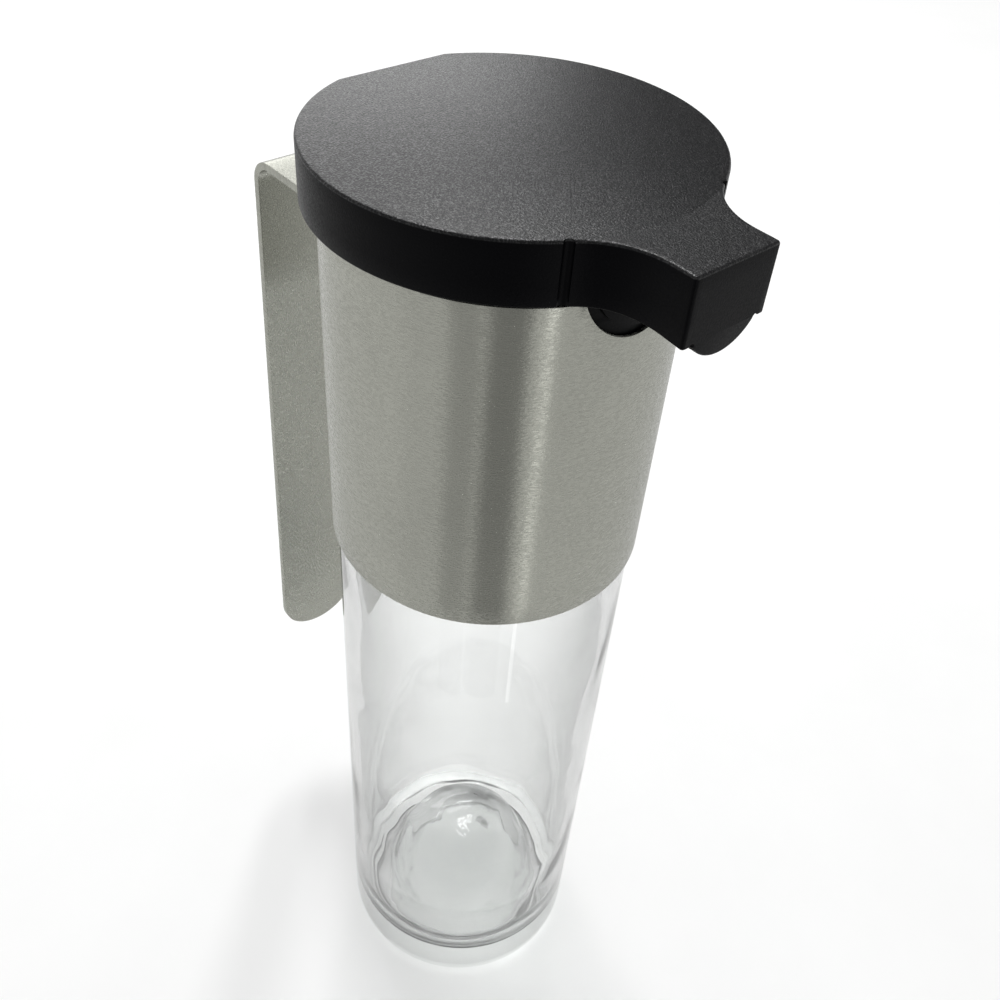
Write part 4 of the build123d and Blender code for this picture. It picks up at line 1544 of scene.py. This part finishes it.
@dataclass(frozen=True)
class Card:
    """An upright card that glows, dark or bright, and that only glossy surfaces see."""

    name: str
    azimuth: float
    distance: float
    width: float
    tone: float
    low: float = 0.0
    high: float = 0.25

    def build(self) -> None:
        """Stands the card up."""
        middle = Vector((*on_circle(self.distance, self.azimuth), 0))
        aside = Vector((*on_circle(self.width / 2, self.azimuth + 90), 0))
        sides = ((-1, self.low), (1, self.low), (1, self.high), (-1, self.high))
        corners = [middle + aside * side + Vector((0, 0, height)) for side, height in sides]
        card = patch(self.name, corners, CardEmission(f"{self.name}_cloth", self.tone).make())
        for sight in ("camera", "diffuse", "transmission", "volume_scatter", "shadow"):
            setattr(card, f"visible_{sight}", False)


@dataclass
class Studio:
    """Floor, lamps, cards, world and camera."""

    lens: float = 38.56
    sensor: float = 36.0
    clip: Range = (0.005, 50.0)
    stand_off: float = 0.129456
    camera_height: float = 0.239931
    camera_side: float = 47.3
    camera_yaw: float = -0.968
    camera_pitch: float = 42.418
    camera_roll: float = 4.940
    target: Triple = (0.0, 0.0, 0.1)
    floor_half: float = 4.0
    floor_drop: float = 0.00004
    world_light: float = 0.32
    horizon_seen: float = 0.97
    ceiling_seen: float = 0.3
    horizon_end: float = 0.17
    ceiling_start: float = 0.6
    lamps: tuple[Lamp, ...] = (
        Lamp("overhead", 150.0, 78.0, 0.95, 1.0, 1.0, 0.66),
        Lamp("back_window", 155.0, 20.5, 1.2, 0.75, 0.45, 2.75),
        Lamp("left_pane", 161.0, 61.0, 1.2, 0.2, 0.24, 42.0),
        Lamp("right_pane", 134.0, 60.0, 1.2, 0.1, 0.28, 42.0),
    )
    cards: tuple[Card, ...] = (
        Card("front_card", -36.6, 0.1, 0.035, 0.38),
        Card("left_card", -57.7, 0.1, 0.039, 0.58),
        Card("left_fade", -82.0, 0.1, 0.042, 0.84),
        Card("left_glint", -51.0, 0.098, 0.0025, 1.0),
        Card("right_glint", -16.5, 0.098, 0.0045, 2.4),
        Card("room_card", 118.0, 0.6, 0.36, 0.12, 0.18, 0.8),
    )

    def aim_camera(self) -> None:
        """Sets the camera where the photograph was taken from."""
        data = bpy.data.cameras.new("camera")
        data.lens, data.sensor_width = self.lens, self.sensor
        data.clip_start, data.clip_end = self.clip
        camera = lay_object("camera", data)
        turns = [(self.camera_side, "Z"), (self.camera_yaw, "Z")]
        turns += [(90 - self.camera_pitch, "X"), (self.camera_roll, "Z")]
        side, yaw, pitch, roll = (Matrix.Rotation(math.radians(a), 4, axis) for a, axis in turns)
        place = side @ Vector((0, -self.stand_off, self.camera_height))
        camera.matrix_world = Matrix.Translation(place) @ side @ yaw @ pitch @ roll
        bpy.context.scene.camera = camera

    def lay_floor(self) -> None:
        """Lays the pale floor."""
        half, sides = self.floor_half, ((-1, -1), (1, -1), (1, 1), (-1, 1))
        corners = [Vector((x * half, y * half, -self.floor_drop)) for x, y in sides]
        patch("floor", corners, StudioFloor("pale_floor").make())

    def light_world(self) -> None:
        """Fills the world with plain light and shows it pale."""
        world = bpy.data.worlds.new("studio")
        bpy.context.scene.world = world
        world.use_nodes = True
        sheet = NodeSheet(world.node_tree)
        ray = sheet.add("ShaderNodeTexCoord").outputs["Generated"]
        rise = sheet.add("ShaderNodeSeparateXYZ", {0: ray}).outputs["Z"]
        tones = (self.horizon_seen, self.ceiling_seen, self.horizon_end, self.ceiling_start)
        white = {"Color": (1.0, 1.0, 1.0, 1.0)}
        lighting, showing = (
            sheet.take("ShaderNodeBackground", white | {"Strength": strength})
            for strength in (self.world_light, sheet.spread(rise, *tones))
        )
        both = {0: sheet.seen(), 1: lighting, 2: showing}
        sheet.add("ShaderNodeOutputWorld", {"Surface": sheet.take("ShaderNodeMixShader", both)})

    def build(self) -> None:
        """Sets up the whole studio."""
        self.aim_camera()
        self.lay_floor()
        self.light_world()
        for lamp in self.lamps:
            lamp.build(Vector(self.target))
        for card in self.cards:
            card.build()
        bpy.context.scene.view_settings.view_transform = "Standard"
        LOG.info("studio: %d lamps, %d cards", len(self.lamps), len(self.cards))


def make_finishes() -> dict[str, Material]:
    """Draws the materials.

    Returns:
        The materials by the record's slot.
    """
    strap = {"colour": (0.335, 0.338, 0.3), "roughness": (0.242, 0.31), "bump_share": 0.25}
    lid = {"colour": (0.0005, 0.0005, 0.0012), "top_shine": 0.325, "crown": 0.15}
    # The head plastic is black; the same black on silicone is painted shade.
    black_and_painted_shade = (0.003, 0.003, 0.0035)
    finishes = {
        "clear_glass": ClearGlass("clear_glass_finish"),
        "sleeve_steel": BrushedSteel("sleeve_steel_finish", Brushing.AROUND),
        "strap_steel": BrushedSteel("strap_steel_finish", Brushing.ALONG, **strap),
        "lid_plastic": GrainedPlastic("lid_plastic_finish", **lid),
        "head_plastic": GrainedPlastic("head_plastic_finish", black_and_painted_shade),
        "silicone": Silicone("silicone_finish"),
        # Painted shade: this silicone is painted black so that the gap in the sleeve's notch round
        # the spout shows dark.
        "shade_black_silicone": Silicone("shade_black_silicone_finish", black_and_painted_shade, shine=0.05),
        "fastener_steel": PlainSteel("fastener_steel_finish"),
        "tube_steel": PlainSteel("tube_steel_finish", roughness=(0.14, 0.28)),
    }
    return {slot: finish.make() for slot, finish in finishes.items()}


def main() -> None:
    """Builds the studio and the dispenser's pieces in order."""
    logging.basicConfig(level=logging.INFO, format="%(name)s: %(message)s")
    Studio().build()
    finishes = make_finishes()
    turning = turning_tree()
    GlassBottle(finishes["clear_glass"], turning).build()
    SteelSleeve(finishes["sleeve_steel"]).build()
    StrapHandle(finishes["strap_steel"]).build()
    Lid(finishes["lid_plastic"]).build()
    head = PouringHead(finishes, turning)
    head.dress()
    head.fasten()


if __name__ == "__main__":
    main()
